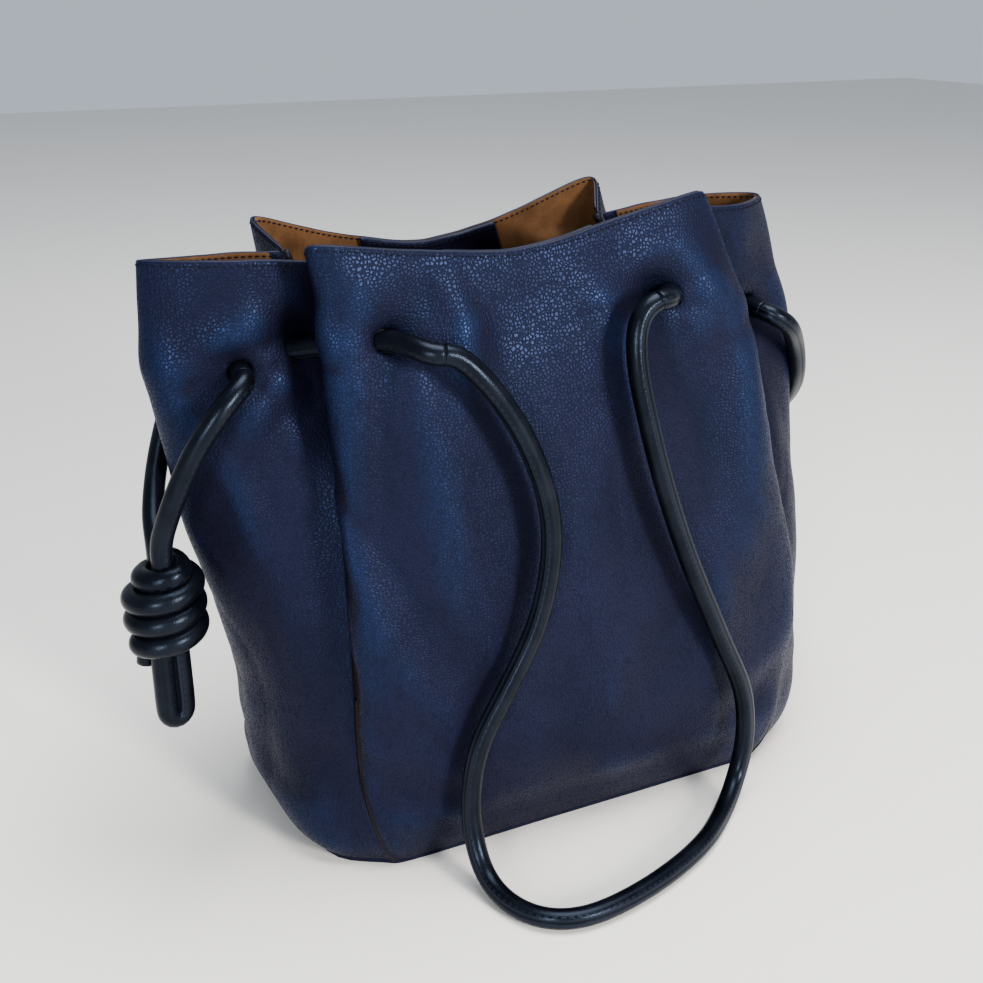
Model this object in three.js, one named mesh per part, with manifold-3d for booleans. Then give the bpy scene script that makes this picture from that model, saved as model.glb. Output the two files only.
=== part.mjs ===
// A drawstring bucket bag: four soft leather walls on a flat base, cinched by two rolled cords.
// Millimetres, +Z up, -Y is the front. The origin is the middle of the base's underside.
import * as THREE from 'three';
import { mergeVertices } from 'three/addons/utils/BufferGeometryUtils.js';
import Module from 'manifold-3d';

const wasm = await Module();
wasm.setup();

// ---------- driving dimensions ----------

const BASE_LENGTH = 266;
const BASE_DEPTH = 144;
const BAG_HEIGHT = 292;
const CORNER_SETBACK = 28;      // from an end of the base to the seam of a wall and a gusset
const EYELET_BELOW_RIM = 41;
const EYELET_HEIGHT = BAG_HEIGHT - EYELET_BELOW_RIM;

const LEATHER = 1.6;
const LINING = 0.8;
const BASE_THICKNESS = 2;
const BOARD_THICKNESS = 2;
const GAP = 0.3;                // between pieces that lie on each other

const CORD_DIAMETER = 9.5;
const EYELET_CLEARANCE = 0.6;   // all round a cord, in its hole
const PIPING_DIAMETER = 2.4;
const PIPING_GAP = 0.8;         // from a piping to the leather each side, where the seam slants

const FACING_LENGTH = 80;
const FACING_HEIGHT = 30;
const FACING_THICKNESS = 3.4;
const FACING_BELOW_RIM = 1.5;
const FACING_GAP = 0.6;         // from a lining to the flatter facing on it
const MAGNET_DIAMETER = 14;
const MAGNET_THICKNESS = 1.8;

const WRAP_DIAMETER = 37;
const WRAPS = 4;
const WRAP_PITCH = 11.5;
const KNOT_LOOP_LENGTH = 40;
const KNOT_TAIL_LENGTH = 9;

// The bag's lines are set at these shares of its height: base, first curl, belly, waist, eyelets, rim.
const STATIONS = [0, 0.035, 0.14, 0.38, 0.62, 0.86, 1];

// How far the walls' middles and crests stand outside the base's long edges, station by station.
const FRONT_MIDDLE_OUT = [0, 4, 10, 14, 10, 1, -11];
const BACK_MIDDLE_OUT = [0, 4, 10, 14, 8, -10, -24];
const FRONT_CREST_OUT = [0, 3, 4, 2, -4, -11, -15];
const BACK_LEFT_CREST_OUT = [0, 3, 4, 0, -14, -32, -42];
const BACK_RIGHT_CREST_OUT = [0, 3, 4, 2, -6, -22, -30];

// How far the crests stand outside the base's seams, along the length: the bag slouches to its left.
const LEFT_CREST_SPREAD = [-8, -1, 11, 15, 15, 16, 23];
const RIGHT_CREST_SPREAD = [-8, 1, 15, 19, 1, -21, -45];

// How far the pleat's seam lies behind its crest, and how far towards the bag's middle.
const PLEAT_DEPTH = [1, 3, 8, 14, 22, 32, 22];
const PLEAT_INSET = [-8, -7, -2, 3, 6, 12, 9];

// How far each gusset's fold stands outside the base's end, and where it lies in the depth.
const LEFT_FOLD_OUT = [0, 12, 19, 28, 48, 56, 55];
const RIGHT_FOLD_OUT = [0, 14, 28, 36, 25, 13, 2];
const LEFT_FOLD_Y = [0, -2, -5, -8, -12, -13, -14];
const RIGHT_FOLD_Y = [0, 0, 0, -2, -6, -4, 3];

// A gusset's side, half way from seam to fold: its share of that way, and how far it narrows.
const GUSSET_SIDE_SHARE = [0.93, 0.86, 0.75, 0.69, 0.55, 0.52, 0.55];
const GUSSET_NARROWING = [19, 20, 22, 20, 8, -7, 2];

// Rise of the rim above BAG_HEIGHT at each wall's section points, and where the rise begins.
const FRONT_RIM = [-4, 7, 2, -1, 8, 17, 6];
const RIGHT_RIM = [6, 4, 3, 1, -5];
const BACK_RIM = [-5, 11, -5, -15, -8, 5, -7];
const LEFT_RIM = [-7, -5, -1, -1, -4];
const RIM_RISE_FROM = 0.6;

// Half way from a crest to its wall's middle, how much of the step between them is left.
const FACE_EASE = 0.2;

const WALL_COLUMNS = 14;
const WALL_ROWS = [0, 0.035, 0.14, 0.32, 0.5, 0.68, 0.86, 1];
const CORD_SIDES = 8;
const HANDLE_STEP = 2 * CORD_DIAMETER;
const RUN_STEP = 0.9 * CORD_DIAMETER;   // the runs and strands bend more tightly
const BARREL_SIDES = 14;
const WRAP_ANGLES = [-60, 0, 60];       // where a wrap's bulge has its points
const BEND_STEP = 30;                   // degrees of a knot loop's bend
const DISC_SIDES = 16;
const FACING_COLUMNS = 4;
const FACING_LINE_END = 0.55;           // share of a wall's width; the magnet's face is square to it

const cordRadius = CORD_DIAMETER / 2;
const pipingRadius = PIPING_DIAMETER / 2;
const wallStart = BASE_THICKNESS + GAP;
const liningDepth = LEATHER + GAP;
const insideDepth = liningDepth + LINING;

// ---------- materials ----------

const finish = (color, roughness, metalness = 0) => () =>
  new THREE.MeshStandardMaterial({ color, roughness, metalness });
const navyLeather = finish(0x24284a, 0.42);
const darkEdge = finish(0x11121c, 0.5);
const cordLeather = finish(0x17181f, 0.34);
const suede = finish(0xa5703c, 0.95);
const board = finish(0x8d8272, 0.9);
const steel = finish(0xb8bcc2, 0.3, 1);

const bag = new THREE.Group();
const addPiece = (name, geometry, material) => {
  const mesh = new THREE.Mesh(geometry, material());
  mesh.name = name;
  bag.add(mesh);
};

// ---------- solids ----------

const toSolid = (geometry) => {
  const bare = geometry.clone();
  bare.deleteAttribute('normal');
  bare.deleteAttribute('uv');
  const merged = mergeVertices(bare, 1e-4);
  return new wasm.Manifold(new wasm.Mesh({
    numProp: 3,
    vertProperties: new Float32Array(merged.attributes.position.array),
    triVerts: new Uint32Array(merged.index.array),
  }));
};

const toGeometry = (solid) => {
  const mesh = solid.getMesh();
  const geometry = new THREE.BufferGeometry();
  geometry.setAttribute('position', new THREE.BufferAttribute(new Float32Array(mesh.vertProperties), 3));
  geometry.setIndex(new THREE.BufferAttribute(new Uint32Array(mesh.triVerts), 1));
  return geometry;
};

const cut = (geometry, tools) =>
  toGeometry(tools.reduce((solid, tool) => solid.subtract(toSolid(tool)), toSolid(geometry)));

// A round tube along a curve, with flat ends square to it.
const tube = (curve, diameter, step = RUN_STEP) => {
  const ring = new THREE.Shape();
  for (let side = 0; side < CORD_SIDES; side += 1) {
    const angle = (side / CORD_SIDES) * 2 * Math.PI;
    const corner = [Math.cos(angle) * diameter / 2, Math.sin(angle) * diameter / 2];
    if (side === 0) ring.moveTo(...corner);
    else ring.lineTo(...corner);
  }
  ring.closePath();
  const steps = curve.knotSteps ?? Math.ceil(curve.getLength() / step);
  return new THREE.ExtrudeGeometry(ring, { extrudePath: curve, steps, bevelEnabled: false });
};

const curveThrough = (points) => new THREE.CatmullRomCurve3(points, false, 'centripetal');

// A curve that is stepped at its own points, so that a tube along it bends exactly there.
class KnotCurve extends THREE.CatmullRomCurve3 {
  constructor(points) {
    super(points, false, 'centripetal');
    this.knotSteps = points.length - 1;
  }

  getPointAt(share, target) {
    return this.getPoint(share, target);
  }

  getTangentAt(share, target) {
    return this.getTangent(share, target);
  }
}

// ---------- the bag's lines ----------

// A size that changes smoothly with height, given at the stations.
const line = (values) => {
  const curve = new THREE.CubicInterpolant(STATIONS, values, 1);
  return (height) => curve.evaluate(height)[0];
};

const seamX = BASE_LENGTH / 2 - CORNER_SETBACK;
const pleatDepth = line(PLEAT_DEPTH);
const pleatInset = line(PLEAT_INSET);

// One of the four pleats. side is -1 left, 1 right; face is -1 front, 1 back.
const pleat = (side, face, spread, crestOut) => {
  const spreadAt = line(spread);
  const outAt = line(crestOut);
  const crest = (height) => new THREE.Vector2(
    side * (seamX + spreadAt(height)),
    face * (BASE_DEPTH / 2 + outAt(height)),
  );
  const seam = (height) => crest(height).add(
    new THREE.Vector2(-side * pleatInset(height), -face * pleatDepth(height)),
  );
  return { side, face, crest, seam };
};

const frontLeft = pleat(-1, -1, LEFT_CREST_SPREAD, FRONT_CREST_OUT);
const frontRight = pleat(1, -1, RIGHT_CREST_SPREAD, FRONT_CREST_OUT);
const backRight = pleat(1, 1, RIGHT_CREST_SPREAD, BACK_RIGHT_CREST_OUT);
const backLeft = pleat(-1, 1, LEFT_CREST_SPREAD, BACK_LEFT_CREST_OUT);

// Section points of a front or back wall: seam, crest, three along the face, crest, seam.
const faceWall = (first, last, middleOut, rim) => {
  const outAt = line(middleOut);
  const section = (height) => {
    const from = first.crest(height);
    const to = last.crest(height);
    const middle = new THREE.Vector2((from.x + to.x) / 2, first.face * (BASE_DEPTH / 2 + outAt(height)));
    const quarter = (crest) => new THREE.Vector2(
      (crest.x + middle.x) / 2,
      middle.y + (crest.y - middle.y) * FACE_EASE,
    );
    return [first.seam(height), from, quarter(from), middle, quarter(to), to, last.seam(height)];
  };
  return { section, rim };
};

// Section points of a gusset: seam, side, outer fold, side, seam.
const sideWall = (first, last, foldOut, foldY, rim) => {
  const outAt = line(foldOut);
  const yAt = line(foldY);
  const shareAt = line(GUSSET_SIDE_SHARE);
  const narrowingAt = line(GUSSET_NARROWING);
  const section = (height) => {
    const fold = new THREE.Vector2(first.side * (BASE_LENGTH / 2 + outAt(height)), yAt(height));
    const flank = (corner) => {
      const seam = corner.seam(height);
      return new THREE.Vector2(
        seam.x + (fold.x - seam.x) * shareAt(height),
        seam.y - corner.face * narrowingAt(height),
      );
    };
    return [first.seam(height), flank(first), fold, flank(last), last.seam(height)];
  };
  return { section, rim };
};

const front = faceWall(frontLeft, frontRight, FRONT_MIDDLE_OUT, FRONT_RIM);
const right = sideWall(frontRight, backRight, RIGHT_FOLD_OUT, RIGHT_FOLD_Y, RIGHT_RIM);
const back = faceWall(backRight, backLeft, BACK_MIDDLE_OUT, BACK_RIM);
const left = sideWall(backLeft, frontLeft, LEFT_FOLD_OUT, LEFT_FOLD_Y, LEFT_RIM);

// The outer line of a wall at one share of the height, its ends held short of the seams.
const sectionCurve = (wall, height, short) => {
  const rise = THREE.MathUtils.smoothstep(height, RIM_RISE_FROM, 1);
  const points = wall.section(height).map((point, index) => new THREE.Vector3(
    point.x,
    point.y,
    THREE.MathUtils.lerp(wallStart, BAG_HEIGHT, height) + wall.rim[index] * rise,
  ));
  const pull = (end, next) => end.add(next.clone().sub(end).setLength(short));
  pull(points[0], points[1]);
  pull(points[points.length - 1], points[points.length - 2]);
  return curveThrough(points);
};

// A point of a wall, some way inside its outer face. The walls run anticlockwise seen from above.
const pointIn = (curve, share, depth) => {
  const point = curve.getPoint(share);
  const tangent = curve.getTangent(share).setZ(0).normalize();
  return point.add(new THREE.Vector3(-tangent.y, tangent.x, 0).multiplyScalar(depth));
};

// A point on a wall at any height: straight between the wall's rows, as the wall itself is.
const seamAllowance = pipingRadius + PIPING_GAP;
const pointAt = (wall, share, height, depth, short = seamAllowance) => {
  const above = Math.max(1, WALL_ROWS.findIndex((row) => row >= height));
  const [low, high] = [WALL_ROWS[above - 1], WALL_ROWS[above]];
  const [from, to] = [low, high].map((row) => pointIn(sectionCurve(wall, row, short), share, depth));
  return from.lerp(to, (height - low) / (high - low));
};

const heightShare = (z) => (z - wallStart) / (BAG_HEIGHT - wallStart);

// A gridded block whose outer and inner faces share their diagonals, so that stacked sheets stay apart.
const sheetGrid = (columns, rows) => {
  const box = new THREE.BoxGeometry(1, 1, 1, columns, 1, rows);
  const outerFace = box.groups[3];
  const corners = box.index;
  for (let first = outerFace.start; first < outerFace.start + outerFace.count; first += 6) {
    const [a, b, c, d] = [0, 1, 4, 5].map((offset) => corners.getX(first + offset));
    [a, b, c, a, c, d].forEach((corner, offset) => corners.setX(first + offset, corner));
  }
  return box;
};

// A sheet that follows a wall between two depths, over a range of rows and of shares of its width.
const wallSheet = (wall, depths, rows, widths, columns) => {
  const box = sheetGrid(columns, rows.length - 1);
  const position = box.attributes.position;
  for (let index = 0; index < position.count; index += 1) {
    const row = Math.round((position.getZ(index) + 0.5) * (rows.length - 1));
    const share = THREE.MathUtils.lerp(...widths, position.getX(index) + 0.5);
    const depth = THREE.MathUtils.lerp(...depths, position.getY(index) + 0.5);
    const point = pointAt(wall, share, rows[row], depth);
    position.setXYZ(index, point.x, point.y, point.z);
  }
  return box;
};

// ---------- the cords' routes ----------

// A drawcord's run through one pleat, as steps from the seam at eyelet height: along the bag away
// from its middle, outwards through the depth, and up. It starts outside the gusset, passes through
// the gusset twice and through the wall's pleat and face, and ends outside the wall.
const LEFT_FRONT_RUN = [[44, 12.5, -8], [44, 9, -8], [42, -4, -6], [33, -9, -4], [16, 3, 0],
  [5, 15, 3], [-4, 24, 5], [-11, 33, 7], [-16, 42, 7], [-20, 50.5, 6], [-28, 55, 4.5]];
const LEFT_BACK_RUN = [[44, 12.5, -8], [44, 9, -8], [42, -4, -6], [33, -9, -4], [16, 3, 0],
  [5, 14, 3], [-5, 26, 5], [-12, 42, 7], [-18, 58, 7.5], [-27, 64, 7.5]];
const RIGHT_FRONT_RUN = [[40, 12.5, -8], [40, 9, -8], [38, -4, -6], [30, -9, -4], [15, 3, 0],
  [4, 16, 4], [-8, 27, 7], [-26, 31, 11], [-38, 42, 15], [-44, 53.5, 16], [-52, 55, 16]];
const RIGHT_BACK_RUN = [[40, 12.5, -8], [40, 9, -8], [38, -4, -6], [30, -9, -4], [15, 3, 0],
  [4, 14, 4], [-8, 24, 7], [-26, 26, 11], [-38, 40, 15], [-44, 52, 16], [-52, 54, 16]];

const eyeletShare = heightShare(EYELET_HEIGHT);
const runPoints = (corner, steps) => {
  const seam = corner.seam(eyeletShare);
  return steps.map(([along, out, up]) => new THREE.Vector3(
    seam.x + corner.side * along,
    seam.y + corner.face * out,
    EYELET_HEIGHT + up,
  ));
};

const runs = [
  { name: 'left_front', corner: frontLeft, points: runPoints(frontLeft, LEFT_FRONT_RUN) },
  { name: 'left_back', corner: backLeft, points: runPoints(backLeft, LEFT_BACK_RUN) },
  { name: 'right_front', corner: frontRight, points: runPoints(frontRight, RIGHT_FRONT_RUN) },
  { name: 'right_back', corner: backRight, points: runPoints(backRight, RIGHT_BACK_RUN) },
];
const runNamed = (name) => runs.find((run) => run.name === name);

// A handle turns on the line between its two runs, so each run ends along that line.
const HANDLE_END = 3.5;
const handleLine = (leftRun, rightRun) =>
  rightRun.points.at(-1).clone().sub(leftRun.points.at(-1)).normalize();
for (const face of ['front', 'back']) {
  const pair = [runNamed(`left_${face}`), runNamed(`right_${face}`)];
  const straight = handleLine(...pair).multiplyScalar(HANDLE_END);
  for (const { corner, points } of pair) {
    points.splice(-1, 0, points.at(-1).clone().addScaledVector(straight, corner.side));
  }
}
const eyeletTools = runs.map((run) =>
  tube(curveThrough(run.points), CORD_DIAMETER + 2 * EYELET_CLEARANCE));

// ---------- walls and linings ----------

const walls = { front, back, left, right };
for (const [name, wall] of Object.entries(walls)) {
  const kind = name === 'front' || name === 'back' ? 'panel' : 'gusset';
  const leather = wallSheet(wall, [0, LEATHER], WALL_ROWS, [0, 1], WALL_COLUMNS);
  addPiece(`${name}_${kind}`, cut(leather, eyeletTools), navyLeather);

  const liningStart = heightShare(BASE_THICKNESS + GAP + BOARD_THICKNESS + GAP);
  const liningRows = [liningStart, ...WALL_ROWS.slice(1)];
  const lining = wallSheet(wall, [liningDepth, insideDepth], liningRows, [0, 1], WALL_COLUMNS);
  addPiece(`${name}_lining`, cut(lining, eyeletTools), suede);
}

// ---------- corner pipings ----------

for (const run of runs) {
  const wall = run.corner.face < 0 ? front : back;
  const end = run.corner.side * run.corner.face > 0 ? 0 : 1;
  const rows = [heightShare(wallStart + pipingRadius), ...WALL_ROWS.slice(1)];
  const points = rows.map((row) => pointAt(wall, end, row, LEATHER / 2, 0));
  addPiece(`${run.name}_piping`, tube(new KnotCurve(points), PIPING_DIAMETER), darkEdge);
}

// ---------- base ----------

// The plan of the four walls at one height, moved inwards.
const plan = (height, inset) => {
  const outline = [];
  for (const wall of [front, right, back, left]) {
    for (let column = 0; column <= WALL_COLUMNS; column += 1) {
      const point = pointAt(wall, column / WALL_COLUMNS, height, inset);
      outline.push(new THREE.Vector2(point.x, point.y));
    }
  }
  return new THREE.Shape(outline);
};

const plate = (shape, bottom, thickness) =>
  new THREE.ExtrudeGeometry(shape, { depth: thickness, bevelEnabled: false }).translate(0, 0, bottom);

const boardBottom = BASE_THICKNESS + GAP;
const floorBottom = boardBottom + BOARD_THICKNESS + GAP;
addPiece('base_panel', plate(plan(0, 0), 0, BASE_THICKNESS), navyLeather);
addPiece('base_board', plate(plan(0, liningDepth), boardBottom, BOARD_THICKNESS), board);
addPiece('base_lining', plate(plan(heightShare(floorBottom), insideDepth + GAP), floorBottom, LINING), suede);

// ---------- magnets and their facings ----------

for (const [name, wall] of [['front', front], ['back', back]]) {
  const top = heightShare(BAG_HEIGHT - FACING_BELOW_RIM);
  const bottom = heightShare(BAG_HEIGHT - FACING_BELOW_RIM - FACING_HEIGHT);
  const halfShare = FACING_LENGTH / sectionCurve(wall, top, seamAllowance).getLength() / 2;
  const backing = insideDepth + FACING_GAP;
  const facing = wallSheet(wall, [backing, backing + FACING_THICKNESS],
    [bottom, (bottom + top) / 2, top], [0.5 - halfShare, 0.5 + halfShare], FACING_COLUMNS);

  const middle = pointAt(wall, 0.5, (bottom + top) / 2, backing);
  const upward = pointAt(wall, 0.5, top, backing).sub(middle);
  const along = pointAt(wall, FACING_LINE_END, (bottom + top) / 2, backing).sub(middle);
  const inward = upward.cross(along).normalize();
  const disc = (radius, from, thickness) => {
    const cylinder = new THREE.CylinderGeometry(radius, radius, thickness, DISC_SIDES);
    cylinder.translate(0, from + thickness / 2, 0);
    cylinder.applyQuaternion(new THREE.Quaternion().setFromUnitVectors(new THREE.Vector3(0, 1, 0), inward));
    return cylinder.translate(...middle.toArray());
  };
  const pocket = disc(MAGNET_DIAMETER / 2 + GAP, -GAP * 2, MAGNET_THICKNESS + GAP * 4);
  addPiece(`${name}_magnet_facing`, cut(facing, [pocket]), navyLeather);
  addPiece(`${name}_magnet`, disc(MAGNET_DIAMETER / 2, GAP, MAGNET_THICKNESS), steel);
}

// ---------- drawcord runs and handles ----------

for (const run of runs) {
  addPiece(`${run.name}_cord`, tube(curveThrough(run.points), CORD_DIAMETER), cordLeather);
}

// A handle's route between its two runs: share of the way across, millimetres outside the base's
// long edge, and share of the eyelets' height. Its lowest stretch lies on the table.
const ON_TABLE = (cordRadius + GAP) / EYELET_HEIGHT;
const HANDLE_ROUTE = [[0.137, 16, 0.98], [0.276, 18.5, 0.903], [0.39, 20.5, 0.804],
  [0.449, 21.5, 0.706], [0.446, 21.5, 0.606], [0.378, 21.5, 0.497], [0.237, 21.5, 0.386],
  [0.113, 21, 0.291], [0.065, 20.5, 0.187], [0.06, 24, 0.096], [0.07, 35, 0.036],
  [0.105, 52, ON_TABLE], [0.2, 68, ON_TABLE], [0.358, 75, ON_TABLE], [0.677, 72, ON_TABLE],
  [1.12, 56, ON_TABLE], [1.4, 36, ON_TABLE], [1.54, 25, 0.048], [1.6, 22, 0.12],
  [1.57, 21.5, 0.239], [1.39, 22, 0.394], [1.18, 22, 0.574], [1.04, 21, 0.721],
  [0.94, 19, 0.857], [0.885, 16, 0.968], [0.905, 12.8, 1.036]];

// The back wall's eyelets stand further in than the front's, so its loop starts further in too.
const BACK_EYELETS_IN = 12;
const BACK_LEAN_FROM = 0.52;

const handle = (name, leftRun, rightRun, eyeletsIn) => {
  const start = leftRun.points.at(-1);
  const end = rightRun.points.at(-1);
  const face = leftRun.corner.face;
  const route = HANDLE_ROUTE.map(([across, out, up]) => new THREE.Vector3(
    THREE.MathUtils.lerp(start.x, end.x, across),
    face * (BASE_DEPTH / 2 + out - eyeletsIn * THREE.MathUtils.smoothstep(up, BACK_LEAN_FROM, 1)),
    up * EYELET_HEIGHT,
  ));
  const axis = handleLine(leftRun, rightRun);
  const points = [
    start.clone().addScaledVector(axis, GAP),
    start.clone().addScaledVector(axis, HANDLE_END),
    ...route,
    end.clone().addScaledVector(axis, -HANDLE_END),
    end.clone().addScaledVector(axis, -GAP),
  ];
  addPiece(name, tube(curveThrough(points), CORD_DIAMETER, HANDLE_STEP), cordLeather);
};
handle('front_handle', runNamed('left_front'), runNamed('right_front'), 0);
handle('back_handle', runNamed('left_back'), runNamed('right_back'), BACK_EYELETS_IN);

// ---------- side knots ----------

// Each knot hangs from the two runs of its gusset: two strands, stacked wraps, a loop and a cut tail.
// Its top is placed from the start of its front run: out along the bag past STAND_OFF, share of the
// way to the back run, and down. Its strands enter it side by side, strandTurn from the bag's length.
const STRAND_END = 3;           // straight, square to the gusset
const STRAND_TOP = 6;           // straight, above the wraps
const STAND_OFF = 1.5 * CORD_DIAMETER;
const LEFT_KNOT = { side: -1, top: [26.25, 0.17, 76.5], strandTurn: 90 };
const RIGHT_KNOT = { side: 1, top: [49.75, 1.16, 93], strandTurn: 0 };
const TAIL_TURN = THREE.MathUtils.degToRad(68.5);   // where the tail lies round the loop

const knot = (name, place, frontRun, backRun, frontRoute, backRoute) => {
  const { side, strandTurn } = place;
  const [frontStart, backStart] = [frontRun.points[0], backRun.points[0]];
  const placeAt = ([along, across, down]) => new THREE.Vector3(
    frontStart.x + side * (STAND_OFF + along),
    THREE.MathUtils.lerp(frontStart.y, backStart.y, across),
    frontStart.z - down,
  );
  const top = placeAt(place.top);
  const beside = cordRadius + GAP / 2;
  const turned = THREE.MathUtils.degToRad(strandTurn);
  const aside = new THREE.Vector3(side * Math.cos(turned), -Math.sin(turned), 0).multiplyScalar(beside);
  const strand = (run, route, offset) => {
    const start = run.points[0];
    const face = run.corner.face;
    const points = [
      start.clone().add(new THREE.Vector3(0, face * GAP, 0)),
      start.clone().add(new THREE.Vector3(0, face * STRAND_END, 0)),
      ...route.map(placeAt),
      top.clone().add(offset).add(new THREE.Vector3(0, 0, STRAND_TOP)),
      top.clone().add(offset).add(new THREE.Vector3(0, 0, GAP)),
    ];
    return tube(curveThrough(points), CORD_DIAMETER);
  };
  addPiece(`${name}_front_strand`, strand(frontRun, frontRoute, aside), cordLeather);
  addPiece(`${name}_back_strand`, strand(backRun, backRoute, aside.clone().negate()), cordLeather);

  // Wraps: a turned barrel with one bulge for each turn of cord.
  const profile = [new THREE.Vector2(0, 0)];
  for (let wrap = 0; wrap < WRAPS; wrap += 1) {
    for (const angle of WRAP_ANGLES) {
      const swell = THREE.MathUtils.degToRad(angle);
      profile.push(new THREE.Vector2(
        WRAP_DIAMETER / 2 - WRAP_PITCH / 2 * (1 - Math.cos(swell)),
        (wrap + 0.5 + Math.sin(swell) / 2) * WRAP_PITCH,
      ));
    }
  }
  profile.push(new THREE.Vector2(0, WRAPS * WRAP_PITCH));
  const barrel = new THREE.LatheGeometry(profile, BARREL_SIDES).rotateX(Math.PI / 2);
  const bottom = top.z - WRAPS * WRAP_PITCH;
  addPiece(`${name}_wraps`, barrel.translate(top.x, top.y, bottom), cordLeather);

  // Loop: the cord doubled back on itself below the wraps.
  const from = bottom - GAP;
  const low = from - KNOT_LOOP_LENGTH + beside + cordRadius;
  const points = [];
  for (const z of [from, (from + low) / 2]) points.push(new THREE.Vector3(top.x - beside, top.y, z));
  for (let angle = 0; angle <= 180; angle += BEND_STEP) {
    const sweep = THREE.MathUtils.degToRad(angle);
    points.push(new THREE.Vector3(top.x - beside * Math.cos(sweep), top.y, low - beside * Math.sin(sweep)));
  }
  for (const z of [(from + low) / 2, from]) points.push(new THREE.Vector3(top.x + beside, top.y, z));
  addPiece(`${name}_loop`, tube(new KnotCurve(points), CORD_DIAMETER), cordLeather);

  const spacing = CORD_DIAMETER + GAP;
  const tailTop = new THREE.Vector3(
    top.x + side * (beside + spacing * Math.cos(TAIL_TURN)),
    top.y + spacing * Math.sin(TAIL_TURN),
    from,
  );
  const tailEnd = tailTop.clone().setZ(from - KNOT_TAIL_LENGTH);
  const tail = new THREE.LineCurve3(tailTop, tailEnd);
  addPiece(`${name}_tail`, tube(tail, CORD_DIAMETER), cordLeather);
};

// The strands' routes, placed in the same way as a knot's top.
const LEFT_FRONT_STRAND = [[-8.75, -0.09, 3.5], [-1.75, -0.13, 9.5], [7.75, -0.11, 22],
  [15.75, -0.05, 38], [22.75, 0.03, 57]];
const LEFT_BACK_STRAND = [[-5.25, 1.1, 10], [4.75, 1, 25], [13.75, 0.8, 40],
  [20.75, 0.57, 53], [25.25, 0.37, 64.5]];
const RIGHT_FRONT_STRAND = [[-5.25, -0.08, 5], [14.25, 0.12, 22], [27.75, 0.3, 41.5],
  [37.75, 0.5, 56], [45.75, 0.74, 70], [52.75, 1.02, 82]];
const RIGHT_BACK_STRAND = [[-7.25, 1.13, 7], [9.75, 1.24, 25], [27.75, 1.27, 49], [40.75, 1.22, 73]];
knot('left_knot', LEFT_KNOT, runNamed('left_front'), runNamed('left_back'),
  LEFT_FRONT_STRAND, LEFT_BACK_STRAND);
knot('right_knot', RIGHT_KNOT, runNamed('right_front'), runNamed('right_back'),
  RIGHT_FRONT_STRAND, RIGHT_BACK_STRAND);

export default bag;
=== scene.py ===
"""A navy leather bucket bag with a suede inside, cinched by two rolled drawcords.

The walls, linings, cords, knots and stitching are made here, around the bag's fixed frame.
"""

import math

import bmesh
import bpy
import numpy as np
from mathutils import Matrix, Vector, noise
from mathutils.bvhtree import BVHTree


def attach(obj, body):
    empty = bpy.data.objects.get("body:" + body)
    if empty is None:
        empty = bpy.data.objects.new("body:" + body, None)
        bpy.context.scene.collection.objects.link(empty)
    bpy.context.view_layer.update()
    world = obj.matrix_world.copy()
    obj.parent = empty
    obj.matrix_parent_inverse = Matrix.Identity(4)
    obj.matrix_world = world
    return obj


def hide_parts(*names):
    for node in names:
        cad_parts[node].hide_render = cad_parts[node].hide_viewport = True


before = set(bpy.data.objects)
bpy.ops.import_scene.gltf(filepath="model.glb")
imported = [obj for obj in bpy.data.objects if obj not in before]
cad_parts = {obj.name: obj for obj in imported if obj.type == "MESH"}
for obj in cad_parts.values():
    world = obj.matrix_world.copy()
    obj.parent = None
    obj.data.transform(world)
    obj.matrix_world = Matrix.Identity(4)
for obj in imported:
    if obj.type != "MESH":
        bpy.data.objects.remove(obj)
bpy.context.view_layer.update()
MM = 0.001

# ---------------------------------------------------------------- camera
# A short telephoto lens on a tripod, at the bag's front left corner and a little above its rim.
camera = bpy.data.objects.new("camera", bpy.data.cameras.new("camera"))
camera.data.lens = 45.8
camera.data.sensor_width = 36
camera.data.clip_start = 0.02
camera.location = (-0.2776, -0.5344, 0.395)
LOOK_DOWN = math.radians(22.1)
looking = Vector((0.435 * math.cos(LOOK_DOWN), 0.900 * math.cos(LOOK_DOWN), -math.sin(LOOK_DOWN)))
camera.rotation_euler = looking.to_track_quat("-Z", "Y").to_euler()
bpy.context.scene.collection.objects.link(camera)
bpy.context.scene.camera = camera


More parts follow.
